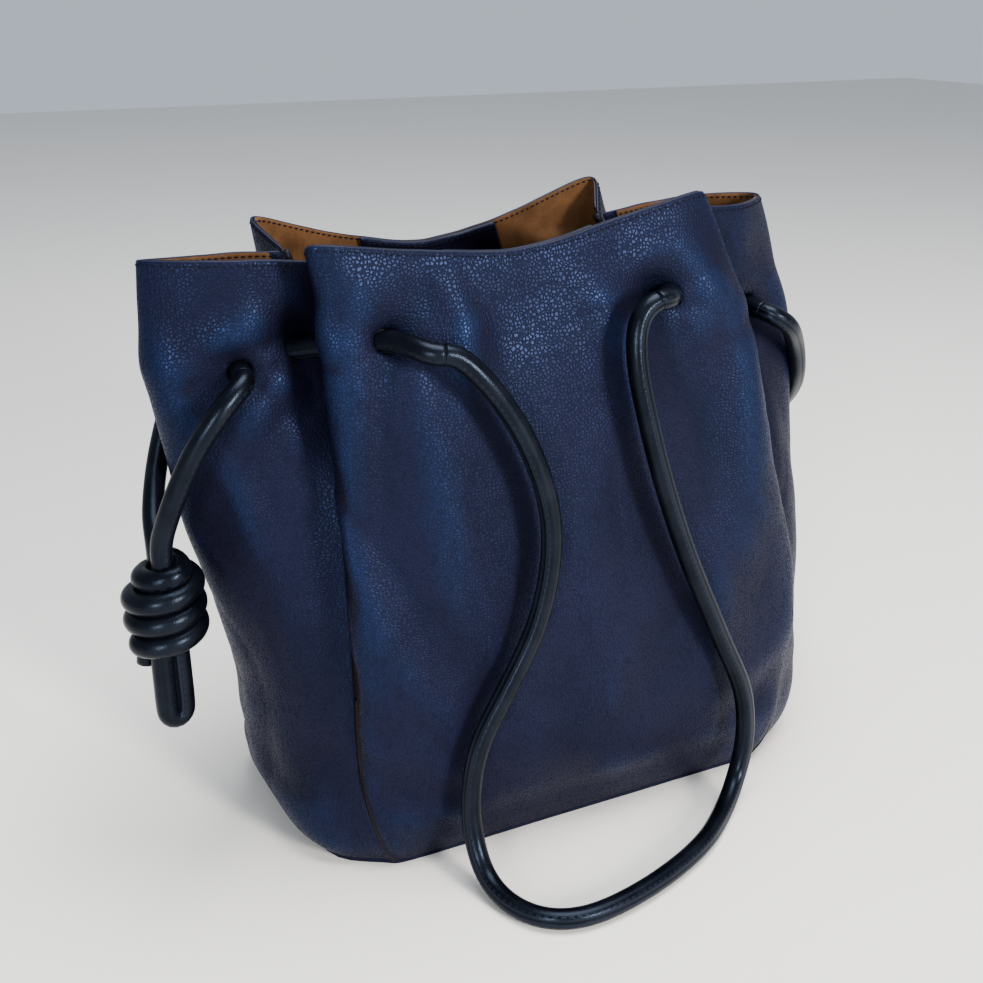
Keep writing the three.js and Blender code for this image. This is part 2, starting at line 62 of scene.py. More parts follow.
# ---------------------------------------------------------------- drawcords and handle loops
# Two cords of smooth near-black leather, each a strip rolled round a core and closed by a sewn
# seam. Each passes through the eyelets of both gussets and of one face, and its slack is a handle.
class Shade:
    """A socket of a material's nodes. Sums and products of these add the Math nodes."""

    def __init__(self, socket):
        self.socket = socket

    @staticmethod
    def node(tree, kind, settings, inputs, output=0):
        made = tree.nodes.new("ShaderNode" + kind)
        for name, value in settings.items():
            setattr(made, name, value)
        for name, value in inputs.items():
            if isinstance(value, Shade):
                tree.links.new(value.socket, made.inputs[name])
            else:
                made.inputs[name].default_value = value
        return Shade(made.outputs[output])

    def math(self, operation, *values):
        inputs = dict(enumerate(values))
        return Shade.node(self.socket.id_data, "Math", {"operation": operation}, inputs)

    def __add__(self, other):
        return self.math("ADD", self, other)

    def __radd__(self, other):
        return self.math("ADD", other, self)

    def __sub__(self, other):
        return self.math("SUBTRACT", self, other)

    def __rsub__(self, other):
        return self.math("SUBTRACT", other, self)

    def __mul__(self, other):
        return self.math("MULTIPLY", self, other)

    def __rmul__(self, other):
        return self.math("MULTIPLY", other, self)

    def between(self, low, high):
        """0 below low, 1 above high, and smooth from one to the other."""
        settings = {"interpolation_type": "SMOOTHSTEP"}
        inputs = {"Value": self, "From Min": low, "From Max": high}
        return Shade.node(self.socket.id_data, "MapRange", settings, inputs)

    def tint(self, dark, light):
        """The colour dark where this is 0, and light where it is 1."""
        inputs = {0: self}
        for slot, tone in ((6, dark), (7, light)):
            inputs[slot] = tone if isinstance(tone, Shade) else (*tone, 1)
        return Shade.node(self.socket.id_data, "Mix", {"data_type": "RGBA"}, inputs, 2)


def new_finish(name, **constants):
    """A material, its node tree and its shader, with the values that are the same all over."""
    finish = bpy.data.materials.new(name)
    finish.use_nodes = True
    shader = finish.node_tree.nodes["Principled BSDF"]
    for socket, value in constants.items():
        shader.inputs[socket.replace("_", " ")].default_value = value
    return finish, finish.node_tree, shader


def connect(tree, shader, **links):
    for socket, shade in links.items():
        tree.links.new(shade.socket, shader.inputs[socket.replace("_", " ")])


def raised(tree, height, distance, strength):
    """A surface raised by height times distance, in metres."""
    inputs = {"Height": height, "Distance": distance, "Strength": strength}
    return Shade.node(tree, "Bump", {}, inputs)


def cloudy(tree, scale, detail, **more):
    """Soft noise between 0 and 1, in features about 1 / scale metres wide."""
    place = Shade.node(tree, "TexCoord", {}, {}, "Object")
    inputs = {"Vector": place, "Scale": scale, "Detail": detail, **more}
    return Shade.node(tree, "TexNoise", {}, inputs)


STITCHES_PER_METRE = 1000 / 3.4
STITCH_BESIDE = 0.085           # share of the way round the cord, from the seam


def rolled_leather(name):
    """Smooth near-black leather, waxed: fine pores, faint cracks across bends, a sewn seam with a
    painted highlight on its lips.
    """
    finish, tree, shader = new_finish(name, Specular_IOR_Level=0.22)
    shader.inputs["Specular Tint"].default_value = (0.6, 0.75, 1.0, 1)
    place = Shade.node(tree, "TexCoord", {}, {}, "Object")
    uv = Shade.node(tree, "UVMap", {"uv_map": "UVMap"}, {})
    along = Shade.node(tree, "SeparateXYZ", {}, {0: uv}, "X")
    around = Shade.node(tree, "SeparateXYZ", {}, {0: uv}, "Y")
    from_seam = around.math("PINGPONG", around, 0.5)
    pores = cloudy(tree, 1500, 3)
    grain = Shade.node(
        tree, "TexVoronoi", {"feature": "DISTANCE_TO_EDGE"}, {"Vector": place, "Scale": 900}
    )
    patches = cloudy(tree, 70, 4)
    thread = along * STITCHES_PER_METRE
    thread = thread.math("FRACT", thread)
    stitch = thread.between(0.12, 0.22) * (1 - thread.between(0.72, 0.82))
    beside_seam = from_seam - STITCH_BESIDE
    beside_seam = beside_seam.math("ABSOLUTE", beside_seam)
    stitch = stitch * (1 - beside_seam.between(0.008, 0.022))
    seam = 1 - from_seam.between(0.0, 0.03)
    # The lips beside the seam are painted paler: a painted highlight.
    painted_lip_highlight = from_seam.between(0.015, 0.035) * (1 - from_seam.between(0.045, 0.075))
    tone = patches.between(0.35, 0.7).tint((0.0025, 0.0028, 0.0045), (0.006, 0.0067, 0.010))
    tone = (painted_lip_highlight * 0.6).tint(tone, (0.015, 0.018, 0.027))
    tone = (seam * 0.85).tint(tone, (0.001, 0.001, 0.0015))
    tone = stitch.tint(tone, (0.009, 0.010, 0.016))
    rough = 0.25 + 0.08 * patches + 0.12 * seam
    height = grain.between(0.0, 0.22) * 0.5 + pores * 0.35 - seam * 1.6 + stitch * 1.2
    connect(
        tree, shader, Base_Color=tone, Roughness=rough, Normal=raised(tree, height, 0.00006, 0.7)
    )
    return finish


def through(points, shares):
    """Places on the smooth line through points, at shares of its stretches."""
    points = np.asarray(points, float)
    last = len(points) - 1
    padded = np.vstack((2 * points[0] - points[1], points, 2 * points[-1] - points[-2]))
    spot = np.clip(np.asarray(shares, float), 0, 1) * last
    index = np.minimum(spot.astype(int), last - 1)
    part = (spot - index)[:, None]
    four = [padded[index + step] for step in range(4)]
    gaps = [np.sqrt(np.linalg.norm(b - a, axis=1))[:, None] for a, b in zip(four, four[1:])]
    gaps = [np.where(gap < 1e-4, gaps[1], gap) for gap in gaps]
    (a, b, c, d), (ab, bc, cd) = four, gaps
    leave = ((b - a) / ab - (c - a) / (ab + bc) + (c - b) / bc) * bc
    arrive = ((c - b) / bc - (d - b) / (bc + cd) + (d - c) / cd) * bc
    bend, twist = -3 * b + 3 * c - 2 * leave - arrive, 2 * b - 2 * c + leave + arrive
    return b + leave * part + bend * part**2 + twist * part**3


def even_line(points, step):
    """The smooth line through points as places about one step apart."""
    fine = through(points, np.linspace(0, 1, len(points) * 40))
    reach = np.concatenate(([0], np.cumsum(np.linalg.norm(np.diff(fine, axis=0), axis=1))))
    marks = np.linspace(0, reach[-1], max(4, round(reach[-1] / step) + 1))
    return np.stack([np.interp(marks, reach, fine[:, axis]) for axis in range(3)], axis=1)


def finish_piece(name, bm, materials, smooth=True):
    """A mesh object at the origin, from a finished bmesh."""
    mesh = bpy.data.meshes.new(name)
    bm.to_mesh(mesh)
    bm.free()
    mesh.polygons.foreach_set("use_smooth", [smooth] * len(mesh.polygons))
    piece = bpy.data.objects.new(name, mesh)
    bpy.context.scene.collection.objects.link(piece)
    for material in materials:
        mesh.materials.append(material)
    return piece


def sides_along(line):
    """For each place on a line, the direction that a cord's side points, without any twist."""
    tangents = np.gradient(line, axis=0)
    tangents /= np.linalg.norm(tangents, axis=1)[:, None]
    upright = np.array((0.0, 0.0, 1.0)) if abs(tangents[0][2]) < 0.9 else np.array((0.0, 1.0, 0.0))
    across = [np.cross(tangents[0], upright)]
    for tangent in tangents:
        side = across[-1] - tangent * across[-1].dot(tangent)
        across.append(side / np.linalg.norm(side))
    return np.array(across[1:]), tangents


SEAM_REACH, LIP_TURN, LIP_REACH = 0.17, 0.42, 0.2       # radians round a cord, from its seam
LIP_SHARE = 0.35        # how high the lips beside the seam stand, as a share of the groove
TUCKED = 0.972          # share of the radius left at a tucked end


def rolled_cord(
    name, line, diameter, material, seam_turn=0.0, sides=24, groove=0.07, frames=None, begins=0.0,
    tucked=False,
):
    """A strip of leather rolled round a core along a line, its long edges meeting in a groove."""
    length = float(np.linalg.norm(np.diff(line, axis=0), axis=1).sum())
    across, tangents = frames or sides_along(line)
    last = len(line) - 1
    bm = bmesh.new()
    uv = bm.loops.layers.uv.new("UVMap")
    bmesh.ops.create_grid(bm, x_segments=last, y_segments=sides, size=0.5, calc_uvs=True)
    for vert in bm.verts:
        step = round((vert.co.x + 0.5) * last)
        turn = 2 * math.pi * round((vert.co.y + 0.5) * sides) / sides
        from_seam = min(turn, 2 * math.pi - turn)
        radius = diameter / 2 * (1 - groove * math.exp(-((from_seam / SEAM_REACH) ** 2)))
        radius *= 1 + groove * LIP_SHARE * math.exp(-(((from_seam - LIP_TURN) / LIP_REACH) ** 2))
        if tucked and step in (0, last):
            radius *= TUCKED
        side = across[step]
        up = np.cross(tangents[step], side)
        angle = turn + seam_turn
        vert.co = line[step] + radius * (math.cos(angle) * side + math.sin(angle) * up)
    for face in bm.faces:
        for loop in face.loops:
            loop[uv].uv.x = begins + loop[uv].uv.x * length
    bmesh.ops.remove_doubles(bm, verts=bm.verts, dist=1e-6)
    ends = [edge for edge in bm.edges if edge.is_boundary]
    bmesh.ops.holes_fill(bm, edges=ends, sides=0)
    bmesh.ops.recalc_face_normals(bm, faces=bm.faces)
    return finish_piece(name, bm, [material])


CORD = 9.5 * MM
cord_leather = rolled_leather("cord_leather")

# Each run's points, from outside its gusset to outside its face, in metres.
RUNS = {
    "left_front": [
        (-0.1530, -0.0415, 0.2430), (-0.1530, -0.0380, 0.2430), (-0.1510, -0.0250, 0.2450),
        (-0.1420, -0.0200, 0.2470), (-0.1250, -0.0320, 0.2510), (-0.1140, -0.0440, 0.2540),
        (-0.1050, -0.0530, 0.2560), (-0.0980, -0.0620, 0.2580), (-0.0930, -0.0710, 0.2580),
        (-0.0890, -0.0795, 0.2570), (-0.0844, -0.0840, 0.2551), (-0.0810, -0.0840, 0.2555),
    ],
    "left_back": [
        (-0.1530, 0.0206, 0.2430), (-0.1530, 0.0171, 0.2430), (-0.1510, 0.0041, 0.2450),
        (-0.1420, -0.0009, 0.2470), (-0.1250, 0.0111, 0.2510), (-0.1140, 0.0221, 0.2540),
        (-0.1040, 0.0341, 0.2560), (-0.0970, 0.0501, 0.2580), (-0.0910, 0.0661, 0.2585),
        (-0.0855, 0.0721, 0.2582), (-0.0820, 0.0721, 0.2585),
    ],
    "right_front": [
        (0.1122, -0.0415, 0.2430), (0.1122, -0.0380, 0.2430), (0.1102, -0.0250, 0.2450),
        (0.1022, -0.0200, 0.2470), (0.0872, -0.0320, 0.2510), (0.0762, -0.0450, 0.2550),
        (0.0642, -0.0560, 0.2580), (0.0462, -0.0600, 0.2620), (0.0342, -0.0710, 0.2660),
        (0.0282, -0.0825, 0.2670), (0.0237, -0.0840, 0.2674), (0.0202, -0.0840, 0.2670),
    ],
    "right_back": [
        (0.1122, 0.0306, 0.2430), (0.1122, 0.0271, 0.2430), (0.1102, 0.0141, 0.2450),
        (0.1022, 0.0091, 0.2470), (0.0872, 0.0211, 0.2510), (0.0762, 0.0321, 0.2550),
        (0.0642, 0.0421, 0.2580), (0.0462, 0.0441, 0.2620), (0.0342, 0.0581, 0.2660),
        (0.0282, 0.0701, 0.2670), (0.0237, 0.0721, 0.2673), (0.0202, 0.0721, 0.2670),
    ],
}
CORD_STEP, HANDLE_STEP = 1.5 * MM, 2 * MM
run_lines = {name: even_line(points, CORD_STEP) for name, points in RUNS.items()}

# Each handle loop: down its face, outwards on the table, and up again to the other eyelet.
HANDLES = {
    "front": [
        (-0.0807, -0.0840, 0.2555), (-0.0775, -0.0840, 0.2559), (-0.0671, -0.0880, 0.2460),
        (-0.0530, -0.0905, 0.2267), (-0.0415, -0.0925, 0.2018), (-0.0355, -0.0935, 0.1772),
        (-0.0358, -0.0935, 0.1521), (-0.0427, -0.0935, 0.1247), (-0.0570, -0.0935, 0.0969),
        (-0.0695, -0.0930, 0.0730), (-0.0744, -0.0925, 0.0469), (-0.0749, -0.0960, 0.0241),
        (-0.0739, -0.1070, 0.0090), (-0.0703, -0.1240, 0.0050), (-0.0607, -0.1400, 0.0050),
        (-0.0447, -0.1470, 0.0050), (-0.0125, -0.1440, 0.0050), (0.0323, -0.1280, 0.0050),
        (0.0607, -0.1080, 0.0050), (0.0748, -0.0970, 0.0120), (0.0809, -0.0940, 0.0301),
        (0.0779, -0.0935, 0.0600), (0.0597, -0.0940, 0.0989), (0.0384, -0.0940, 0.1441),
        (0.0242, -0.0930, 0.1810), (0.0141, -0.0910, 0.2151), (0.0086, -0.0880, 0.2430),
        (0.0106, -0.0848, 0.2600), (0.0167, -0.0840, 0.2666), (0.0199, -0.0840, 0.2670),
    ],
    "back": [
        (-0.0817, 0.0721, 0.2585), (-0.0785, 0.0721, 0.2588), (-0.0680, 0.0761, 0.2460),
        (-0.0538, 0.0798, 0.2267), (-0.0421, 0.0849, 0.2018), (-0.0361, 0.0895, 0.1772),
        (-0.0364, 0.0925, 0.1521), (-0.0433, 0.0935, 0.1247), (-0.0577, 0.0935, 0.0969),
        (-0.0704, 0.0930, 0.0730), (-0.0753, 0.0925, 0.0469), (-0.0758, 0.0960, 0.0241),
        (-0.0748, 0.1070, 0.0090), (-0.0712, 0.1240, 0.0050), (-0.0615, 0.1400, 0.0050),
        (-0.0454, 0.1470, 0.0050), (-0.0128, 0.1440, 0.0050), (0.0325, 0.1280, 0.0050),
        (0.0611, 0.1080, 0.0050), (0.0754, 0.0970, 0.0120), (0.0815, 0.0940, 0.0301),
        (0.0784, 0.0935, 0.0600), (0.0600, 0.0940, 0.0989), (0.0386, 0.0936, 0.1441),
        (0.0243, 0.0884, 0.1810), (0.0141, 0.0816, 0.2151), (0.0085, 0.0762, 0.2430),
        (0.0105, 0.0728, 0.2600), (0.0167, 0.0721, 0.2667), (0.0199, 0.0721, 0.2670),
    ],
}

# Each cord's free ends, from outside a gusset down into its knot.
STRANDS = {
    "left_front": [
        (-0.1530, -0.0418, 0.2430), (-0.1530, -0.0445, 0.2430), (-0.1585, -0.0471, 0.2395),
        (-0.1655, -0.0496, 0.2335), (-0.1750, -0.0484, 0.2210), (-0.1830, -0.0446, 0.2050),
        (-0.1900, -0.0397, 0.1860), (-0.1935, -0.0359, 0.1725), (-0.1935, -0.0359, 0.1668),
    ],
    "left_back": [
        (-0.1530, 0.0209, 0.2430), (-0.1530, 0.0236, 0.2430), (-0.1620, 0.0268, 0.2330),
        (-0.1720, 0.0206, 0.2180), (-0.1810, 0.0082, 0.2030), (-0.1880, -0.0061, 0.1900),
        (-0.1925, -0.0185, 0.1785), (-0.1935, -0.0261, 0.1725), (-0.1935, -0.0261, 0.1668),
    ],
    "right_front": [
        (0.1122, -0.0418, 0.2430), (0.1122, -0.0445, 0.2430), (0.1212, -0.0473, 0.2380),
        (0.1407, -0.0329, 0.2210), (0.1542, -0.0199, 0.2015), (0.1642, -0.0055, 0.1870),
        (0.1722, 0.0118, 0.1730), (0.1792, 0.0320, 0.1610), (0.1811, 0.0421, 0.1560),
        (0.1811, 0.0421, 0.1503),
    ],
    "right_back": [
        (0.1122, 0.0309, 0.2430), (0.1122, 0.0336, 0.2430), (0.1192, 0.0399, 0.2360),
        (0.1362, 0.0479, 0.2180), (0.1542, 0.0500, 0.1940), (0.1672, 0.0464, 0.1700),
        (0.1713, 0.0421, 0.1560), (0.1713, 0.0421, 0.1503),
    ],
}
KNOT_TOPS = {"left": (-0.1935, -0.0310, 0.1665), "right": (0.1762, 0.0421, 0.1500)}

IN_KNOT = (6 * MM, 19 * MM)     # how far below a knot's top its strands run on
EVENINGS = 14                   # how often a whole cord is evened out, so that it bends softly
GRIP = (1.6 * MM, 0.7 * MM)     # a free stretch grips the fixed one, so that no gap shows


def reach_of(line):
    return float(np.linalg.norm(np.diff(line, axis=0), axis=1).sum())


for face, seam_turn in (("front", 2.4), ("back", 4.0)):
    stretches = []
    for side in ("left", "right"):
        down = STRANDS[f"{side}_{face}"]
        x, y, z = down[-1]
        strand = even_line(down + [(x, y, z - lower) for lower in IN_KNOT], CORD_STEP)
        run = run_lines[f"{side}_{face}"]
        if side == "left":
            handle = even_line(HANDLES[face], HANDLE_STEP)
            stretches += [(f"left_knot_{face}_strand", "left_knot", strand[::-1])]
            stretches += [(f"left_{face}_cord", "bag", run)]
            stretches += [(f"{face}_handle", f"{face}_loop", handle)]
        else:
            stretches += [(f"right_{face}_cord", "bag", run[::-1])]
            stretches += [(f"right_knot_{face}_strand", "right_knot", strand)]
    whole = np.concatenate([line for _, _, line in stretches])
    for _ in range(EVENINGS):
        whole[1:-1] = (whole[:-2] + 2 * whole[1:-1] + whole[2:]) / 4
    sides, ways = sides_along(whole)
    start, begins = 0, 0.0
    for node, body, line in stretches:
        stop = start + len(line)
        line, side, way = whole[start:stop], sides[start:stop], ways[start:stop]
        moving = body != "bag"
        if moving:
            first = [line[0] - way[0] * reach for reach in GRIP]
            last = [line[-1] + way[-1] * reach for reach in GRIP[::-1]]
            line = np.concatenate((first, line, last))
            side, way = (np.pad(part, ((2, 2), (0, 0)), mode="edge") for part in (side, way))
        else:
            run_lines[node.removesuffix("_cord")] = line
        piece = rolled_cord(
            f"{node}_leather", line, CORD, cord_leather, seam_turn=seam_turn,
            frames=(side, way), begins=begins, tucked=True,
        )
        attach(piece, body)
        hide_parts(node)
        if moving:
            "object" if "handle" in node else "knot"
        start, begins = stop, begins + reach_of(line)

# ---------------------------------------------------------------- side knots
# Where each cord's ends meet outside a gusset they are tied: the two strands run down into four
# stacked turns of cord, come out below as a doubled loop, and the end is cut off behind it.
BARREL = 46 * MM
TURN_CORD = 10.5 * MM
TURN_PITCH = 10.2 * MM
TURN_RADIUS = 13.2 * MM                 # to the middle of the cord
FIRST_TURN = 5.3 * MM                   # how far up the knot the first turn starts
TILT, TILT_TURN = 0.9 * MM, 0.7         # how far the turns lean, and where they are highest
TURNS, STEPS_PER_TURN = 3.75, 20
START_ANGLE = 1.9
TUCK_TURN, TUCK_IN = 0.25, 7 * MM       # the coil's ends, turned in over this much of a turn
DRAWN_FROM, DRAWN_OVER = 2.6, 0.5       # turns up the coil from which it is drawn smaller
DRAWN_IN, DRAWN_ACROSS, DRAWN_DOWN = 3.6 * MM, 1.6 * MM, 1.2 * MM
LOOP_LENGTH = 40 * MM
for place, (top_x, top_y, top_z) in KNOT_TOPS.items():
    name = f"{place}_knot"
    side = -1 if place == "left" else 1
    low = top_z - BARREL

    # The turns: a helix that starts and ends tucked in behind itself, its top turn drawn smaller.
    coil = []
    for step in range(round(TURNS * STEPS_PER_TURN) + 1):
        turned = step / STEPS_PER_TURN
        angle = 2 * math.pi * turned + START_ANGLE
        drawn = min(1, max(0, (turned - DRAWN_FROM) / DRAWN_OVER))
        radius = TURN_RADIUS - DRAWN_IN * drawn
        from_ends = max(0, TUCK_TURN - turned) + max(0, turned - TURNS + TUCK_TURN)
        radius -= TUCK_IN * from_ends / TUCK_TURN
        coil.append((
            top_x + radius * math.cos(angle) + DRAWN_ACROSS * drawn,
            top_y + radius * math.sin(angle),
            low + FIRST_TURN + turned * TURN_PITCH + TILT * math.sin(angle + TILT_TURN)
            - DRAWN_DOWN * drawn,
        ))
    turns = rolled_cord(
        f"{name}_turns", even_line(coil, 1.6 * MM), TURN_CORD, cord_leather, seam_turn=3.5
    )
    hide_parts(f"{name}_wraps")

    # The loop under the turns: the cord doubled back on itself, one side a little in front.
    half = 4.75 * MM
    forward = np.array((0.9, -1.0, 0)) * 0.9 * MM
    bend = low - LOOP_LENGTH + half + CORD / 2
    doubled = [(-half, low + 16 * MM), (-half, low), (-half * 1.04, (low + bend) / 2)]
    for angle in range(0, 181, 30):
        sweep = math.radians(angle)
        doubled.append((-half * math.cos(sweep), bend - half * math.sin(sweep)))
    doubled += [(half * 1.04, (low + bend) / 2), (half, low), (half, low + 16 * MM)]
    doubled = [
        np.array((top_x + across, top_y, z)) + forward * -across / half for across, z in doubled
    ]
    loop = rolled_cord(
        f"{name}_bottom_loop", even_line(doubled, CORD_STEP), CORD * 1.03, cord_leather,
        seam_turn=0.4,
    )
    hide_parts(f"{name}_loop")

    # The cut end, behind the loop.
    tail_x, tail_y = top_x + side * 8.5 * MM, top_y + 9.1 * MM
    cut = [(tail_x, tail_y, low + 4 * MM), (tail_x, tail_y, low - 4 * MM)]
    cut.append((tail_x + side * 0.6 * MM, tail_y, low - 9.2 * MM))
    tail = rolled_cord(f"{name}_cut_end", even_line(cut, CORD_STEP), CORD * 0.97, cord_leather)
    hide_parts(f"{name}_tail")
    for piece in (turns, loop, tail):
        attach(piece, name)

# ---------------------------------------------------------------- the four walls' leather
# Two broad panels and two narrow gussets of soft pebbled navy calf, 1.6 mm thick, cut edges
# painted. They stand on the base, lean to the bag's left and are gathered by the cords.
STATIONS = (0, 0.035, 0.14, 0.38, 0.62, 0.86, 1)   # shares of the height, base to rim
SEAM_X = 105                                       # millimetres, as all the lines below
HALF_DEPTH = 72
HALF_LENGTH = 133
WALL_BOTTOM = 2.3
WALL_TOP = 292
FACE_EASE = 0.2         # half way from a crest to the middle, how much of the step is left
RIM_RISE_FROM = 0.6     # share of the height from which the rim's own rise begins
LEATHER = 1.6 * MM
LINING = 0.8 * MM


def at_height(sizes, height):
    """A size that changes smoothly with height, given at the stations."""
    above = next((k for k in range(1, 7) if STATIONS[k] > height), 6)
    start, stop = STATIONS[above - 1], STATIONS[above]
    before, before_at = (above - 2, STATIONS[above - 2]) if above > 1 else (above, stop)
    after, after_at = (above + 1, STATIONS[above + 1]) if above < 6 else (above - 1, start)
    half = (stop - start) / 2
    lead, trail = half / (start - before_at), half / (after_at - stop)
    part = (height - start) / (stop - start)
    square, cube = part**2, part**3
    return (
        (-lead * cube + 2 * lead * square - lead * part) * sizes[before]
        + ((1 + lead) * cube + (-1.5 - 2 * lead) * square + (-0.5 + lead) * part + 1)
        * sizes[above - 1]
        + ((-1 - trail) * cube + (1.5 + trail) * square + 0.5 * part) * sizes[above]
        + (trail * cube - trail * square) * sizes[after]
    )


PLEAT_DEPTH = (1, 3, 8, 14, 22, 32, 22)
PLEAT_INSET = (-8, -7, -2, 3, 6, 12, 9)
# Each pleat: its side and face, and how far its crest stands past the base's seam and edge.
PLEATS = {
    "front_left": (-1, -1, (-8, -1, 11, 15, 15, 16, 23), (0, 3, 4, 2, -4, -11, -15)),
    "front_right": (1, -1, (-8, 1, 15, 19, 1, -21, -45), (0, 3, 4, 2, -4, -11, -15)),
    "back_right": (1, 1, (-8, 1, 15, 19, 1, -21, -45), (0, 3, 4, 2, -6, -22, -30)),
    "back_left": (-1, 1, (-8, -1, 11, 15, 15, 16, 23), (0, 3, 4, 0, -14, -32, -42)),
}
# Each wall: its two pleats, anticlockwise from above, its middle or fold line, and its rim's rise.
FACES = {
    "front": ("front_left", "front_right", (0, 4, 10, 14, 10, 1, -11), (-4, 7, 2, -1, 8, 17, 6)),
    "back": ("back_right", "back_left", (0, 4, 10, 14, 8, -10, -24), (-5, 11, -5, -15, -8, 5, -7)),
}
GUSSETS = {
    "right": (
        "front_right", "back_right", (0, 14, 28, 36, 25, 13, 2), (0, 0, 0, -2, -6, -4, 3),
        (6, 4, 3, 1, -5),
    ),
    "left": (
        "back_left", "front_left", (0, 12, 19, 28, 48, 56, 55), (0, -2, -5, -8, -12, -13, -14),
        (-7, -5, -1, -1, -4),
    ),
}
GUSSET_SIDE_SHARE = (0.93, 0.86, 0.75, 0.69, 0.55, 0.52, 0.55)
GUSSET_NARROWING = (19, 20, 22, 20, 8, -7, 2)


def crest_and_seam(pleat, height):
    side, face, spread, out = PLEATS[pleat]
    crest = np.array((
        side * (SEAM_X + at_height(spread, height)), face * (HALF_DEPTH + at_height(out, height)),
    ))
    behind = (-side * at_height(PLEAT_INSET, height), -face * at_height(PLEAT_DEPTH, height))
    return crest, crest + np.array(behind), side, face


def wall_section(name, height):
    """The points across a wall at one share of its height, in millimetres."""
    if name in FACES:
        first, last, middle_out, rim = FACES[name]
        start, start_seam, _, face = crest_and_seam(first, height)
        stop, stop_seam, _, _ = crest_and_seam(last, height)
        middle_y = face * (HALF_DEPTH + at_height(middle_out, height))
        middle = np.array(((start[0] + stop[0]) / 2, middle_y))
        quarters = [
            np.array(((crest[0] + middle[0]) / 2, middle[1] + (crest[1] - middle[1]) * FACE_EASE))
            for crest in (start, stop)
        ]
        plan = [start_seam, start, quarters[0], middle, quarters[1], stop, stop_seam]
    else:
        first, last, fold_out, fold_y, rim = GUSSETS[name]
        side = PLEATS[first][0]
        fold_x = side * (HALF_LENGTH + at_height(fold_out, height))
        fold = np.array((fold_x, at_height(fold_y, height)))
        seams, flanks = [], []
        for pleat in (first, last):
            _, seam, _, face = crest_and_seam(pleat, height)
            share = at_height(GUSSET_SIDE_SHARE, height)
            narrowing = at_height(GUSSET_NARROWING, height)
            seams.append(seam)
            flanks.append(np.array((
                seam[0] + (fold[0] - seam[0]) * share, seam[1] - face * narrowing,
            )))
        plan = [seams[0], flanks[0], fold, flanks[1], seams[1]]
    rise = min(1, max(0, (height - RIM_RISE_FROM) / (1 - RIM_RISE_FROM)))
    rise = rise * rise * (3 - 2 * rise)
    level = WALL_BOTTOM + (WALL_TOP - WALL_BOTTOM) * height
    return np.array([(x, y, level + lift * rise) for (x, y), lift in zip(plan, rim)])


def wall_places(name, shares, heights, held_short=0.9):
    """Places on a wall's outside at shares of its width and height, and which way is out there."""
    places = np.zeros((len(heights), len(shares), 3))
    outward = np.zeros_like(places)
    for row, height in enumerate(heights):
        section = wall_section(name, height)
        for end, following in ((0, 1), (-1, -2)):
            way = section[following] - section[end]
            section[end] += way / np.linalg.norm(way) * held_short
        places[row] = through(section, shares) * MM
        after = through(section, np.minimum(shares + 1e-4, 1))
        before = through(section, np.maximum(shares - 1e-4, 0))
        along = after - before
        along[:, 2] = 0
        along /= np.linalg.norm(along, axis=1)[:, None]
        outward[row] = np.stack((along[:, 1], -along[:, 0], 0 * along[:, 0]), axis=1)
    return places, outward


# The leather is laid out in columns round each wall and in rows up it, closer together at the rim.
COLUMNS = {"front": 84, "back": 84, "left": 54, "right": 54}
ROWS = 84
ROWS_TO_RIM = 0.035
ROLL_OVER = 9           # how often each row is evened out
wall_heights = np.linspace(0, 1, ROWS + 1)
wall_heights = wall_heights + ROWS_TO_RIM * np.sin(math.pi * wall_heights) * wall_heights
shape = {}
for name in ("front", "right", "back", "left"):
    shares = np.linspace(0, 1, COLUMNS[name] + 1)
    places, outward = wall_places(name, shares, wall_heights)
    # The leather rolls over at its pleats; it doesn't crease sharply.
    for _ in range(ROLL_OVER):
        for grid in (places, outward):
            grid[:, 1:-1] = (grid[:, :-2] + 2 * grid[:, 1:-1] + grid[:, 2:]) / 4
    outward /= np.linalg.norm(outward, axis=2)[:, :, None]
    shape[name] = places, outward


def from_cord(places, clearance):
    """How near places are to the cords' runs: 1 within clearance, and 0 at three times that."""
    near = np.full(places.shape[:2], 9.0)
    for line in run_lines.values():
        for point in line[::3]:
            near = np.minimum(near, np.linalg.norm(places - point, axis=2))
    return np.clip((3 * clearance - near) / (2 * clearance), 0, 1)


def spread_out(values, times):
    """Values on a wall's grid, evened out with their neighbours some number of times."""
    for _ in range(times):
        padded = np.pad(values, ((1, 1), (1, 1), (0, 0)), mode="reflect", reflect_type="odd")
        values = (
            padded[:-2, 1:-1] + padded[2:, 1:-1] + padded[1:-1, :-2] + padded[1:-1, 2:]
            + 2 * values
        ) / 6
    return values


EYELET_NEAR = 6 * MM                            # a cord's run goes through what it is this near
NEXT_EYELET = 22 * MM                           # a wall's two eyelets are at least this far apart
GATHER, GATHER_FADE = 2.6 * MM, 30 * MM         # the gathers that fan out round an eyelet
DIMPLE, DIMPLE_REACH = 2.2 * MM, 13 * MM        # the dent that the cord pulls at an eyelet
HOLLOW, HOLLOW_REACH = 4.2 * MM, 14 * MM        # the hollow below an eyelet
RIDGE, RIDGE_REACH, RIDGE_ASIDE = 3.4 * MM, 12 * MM, 31 * MM


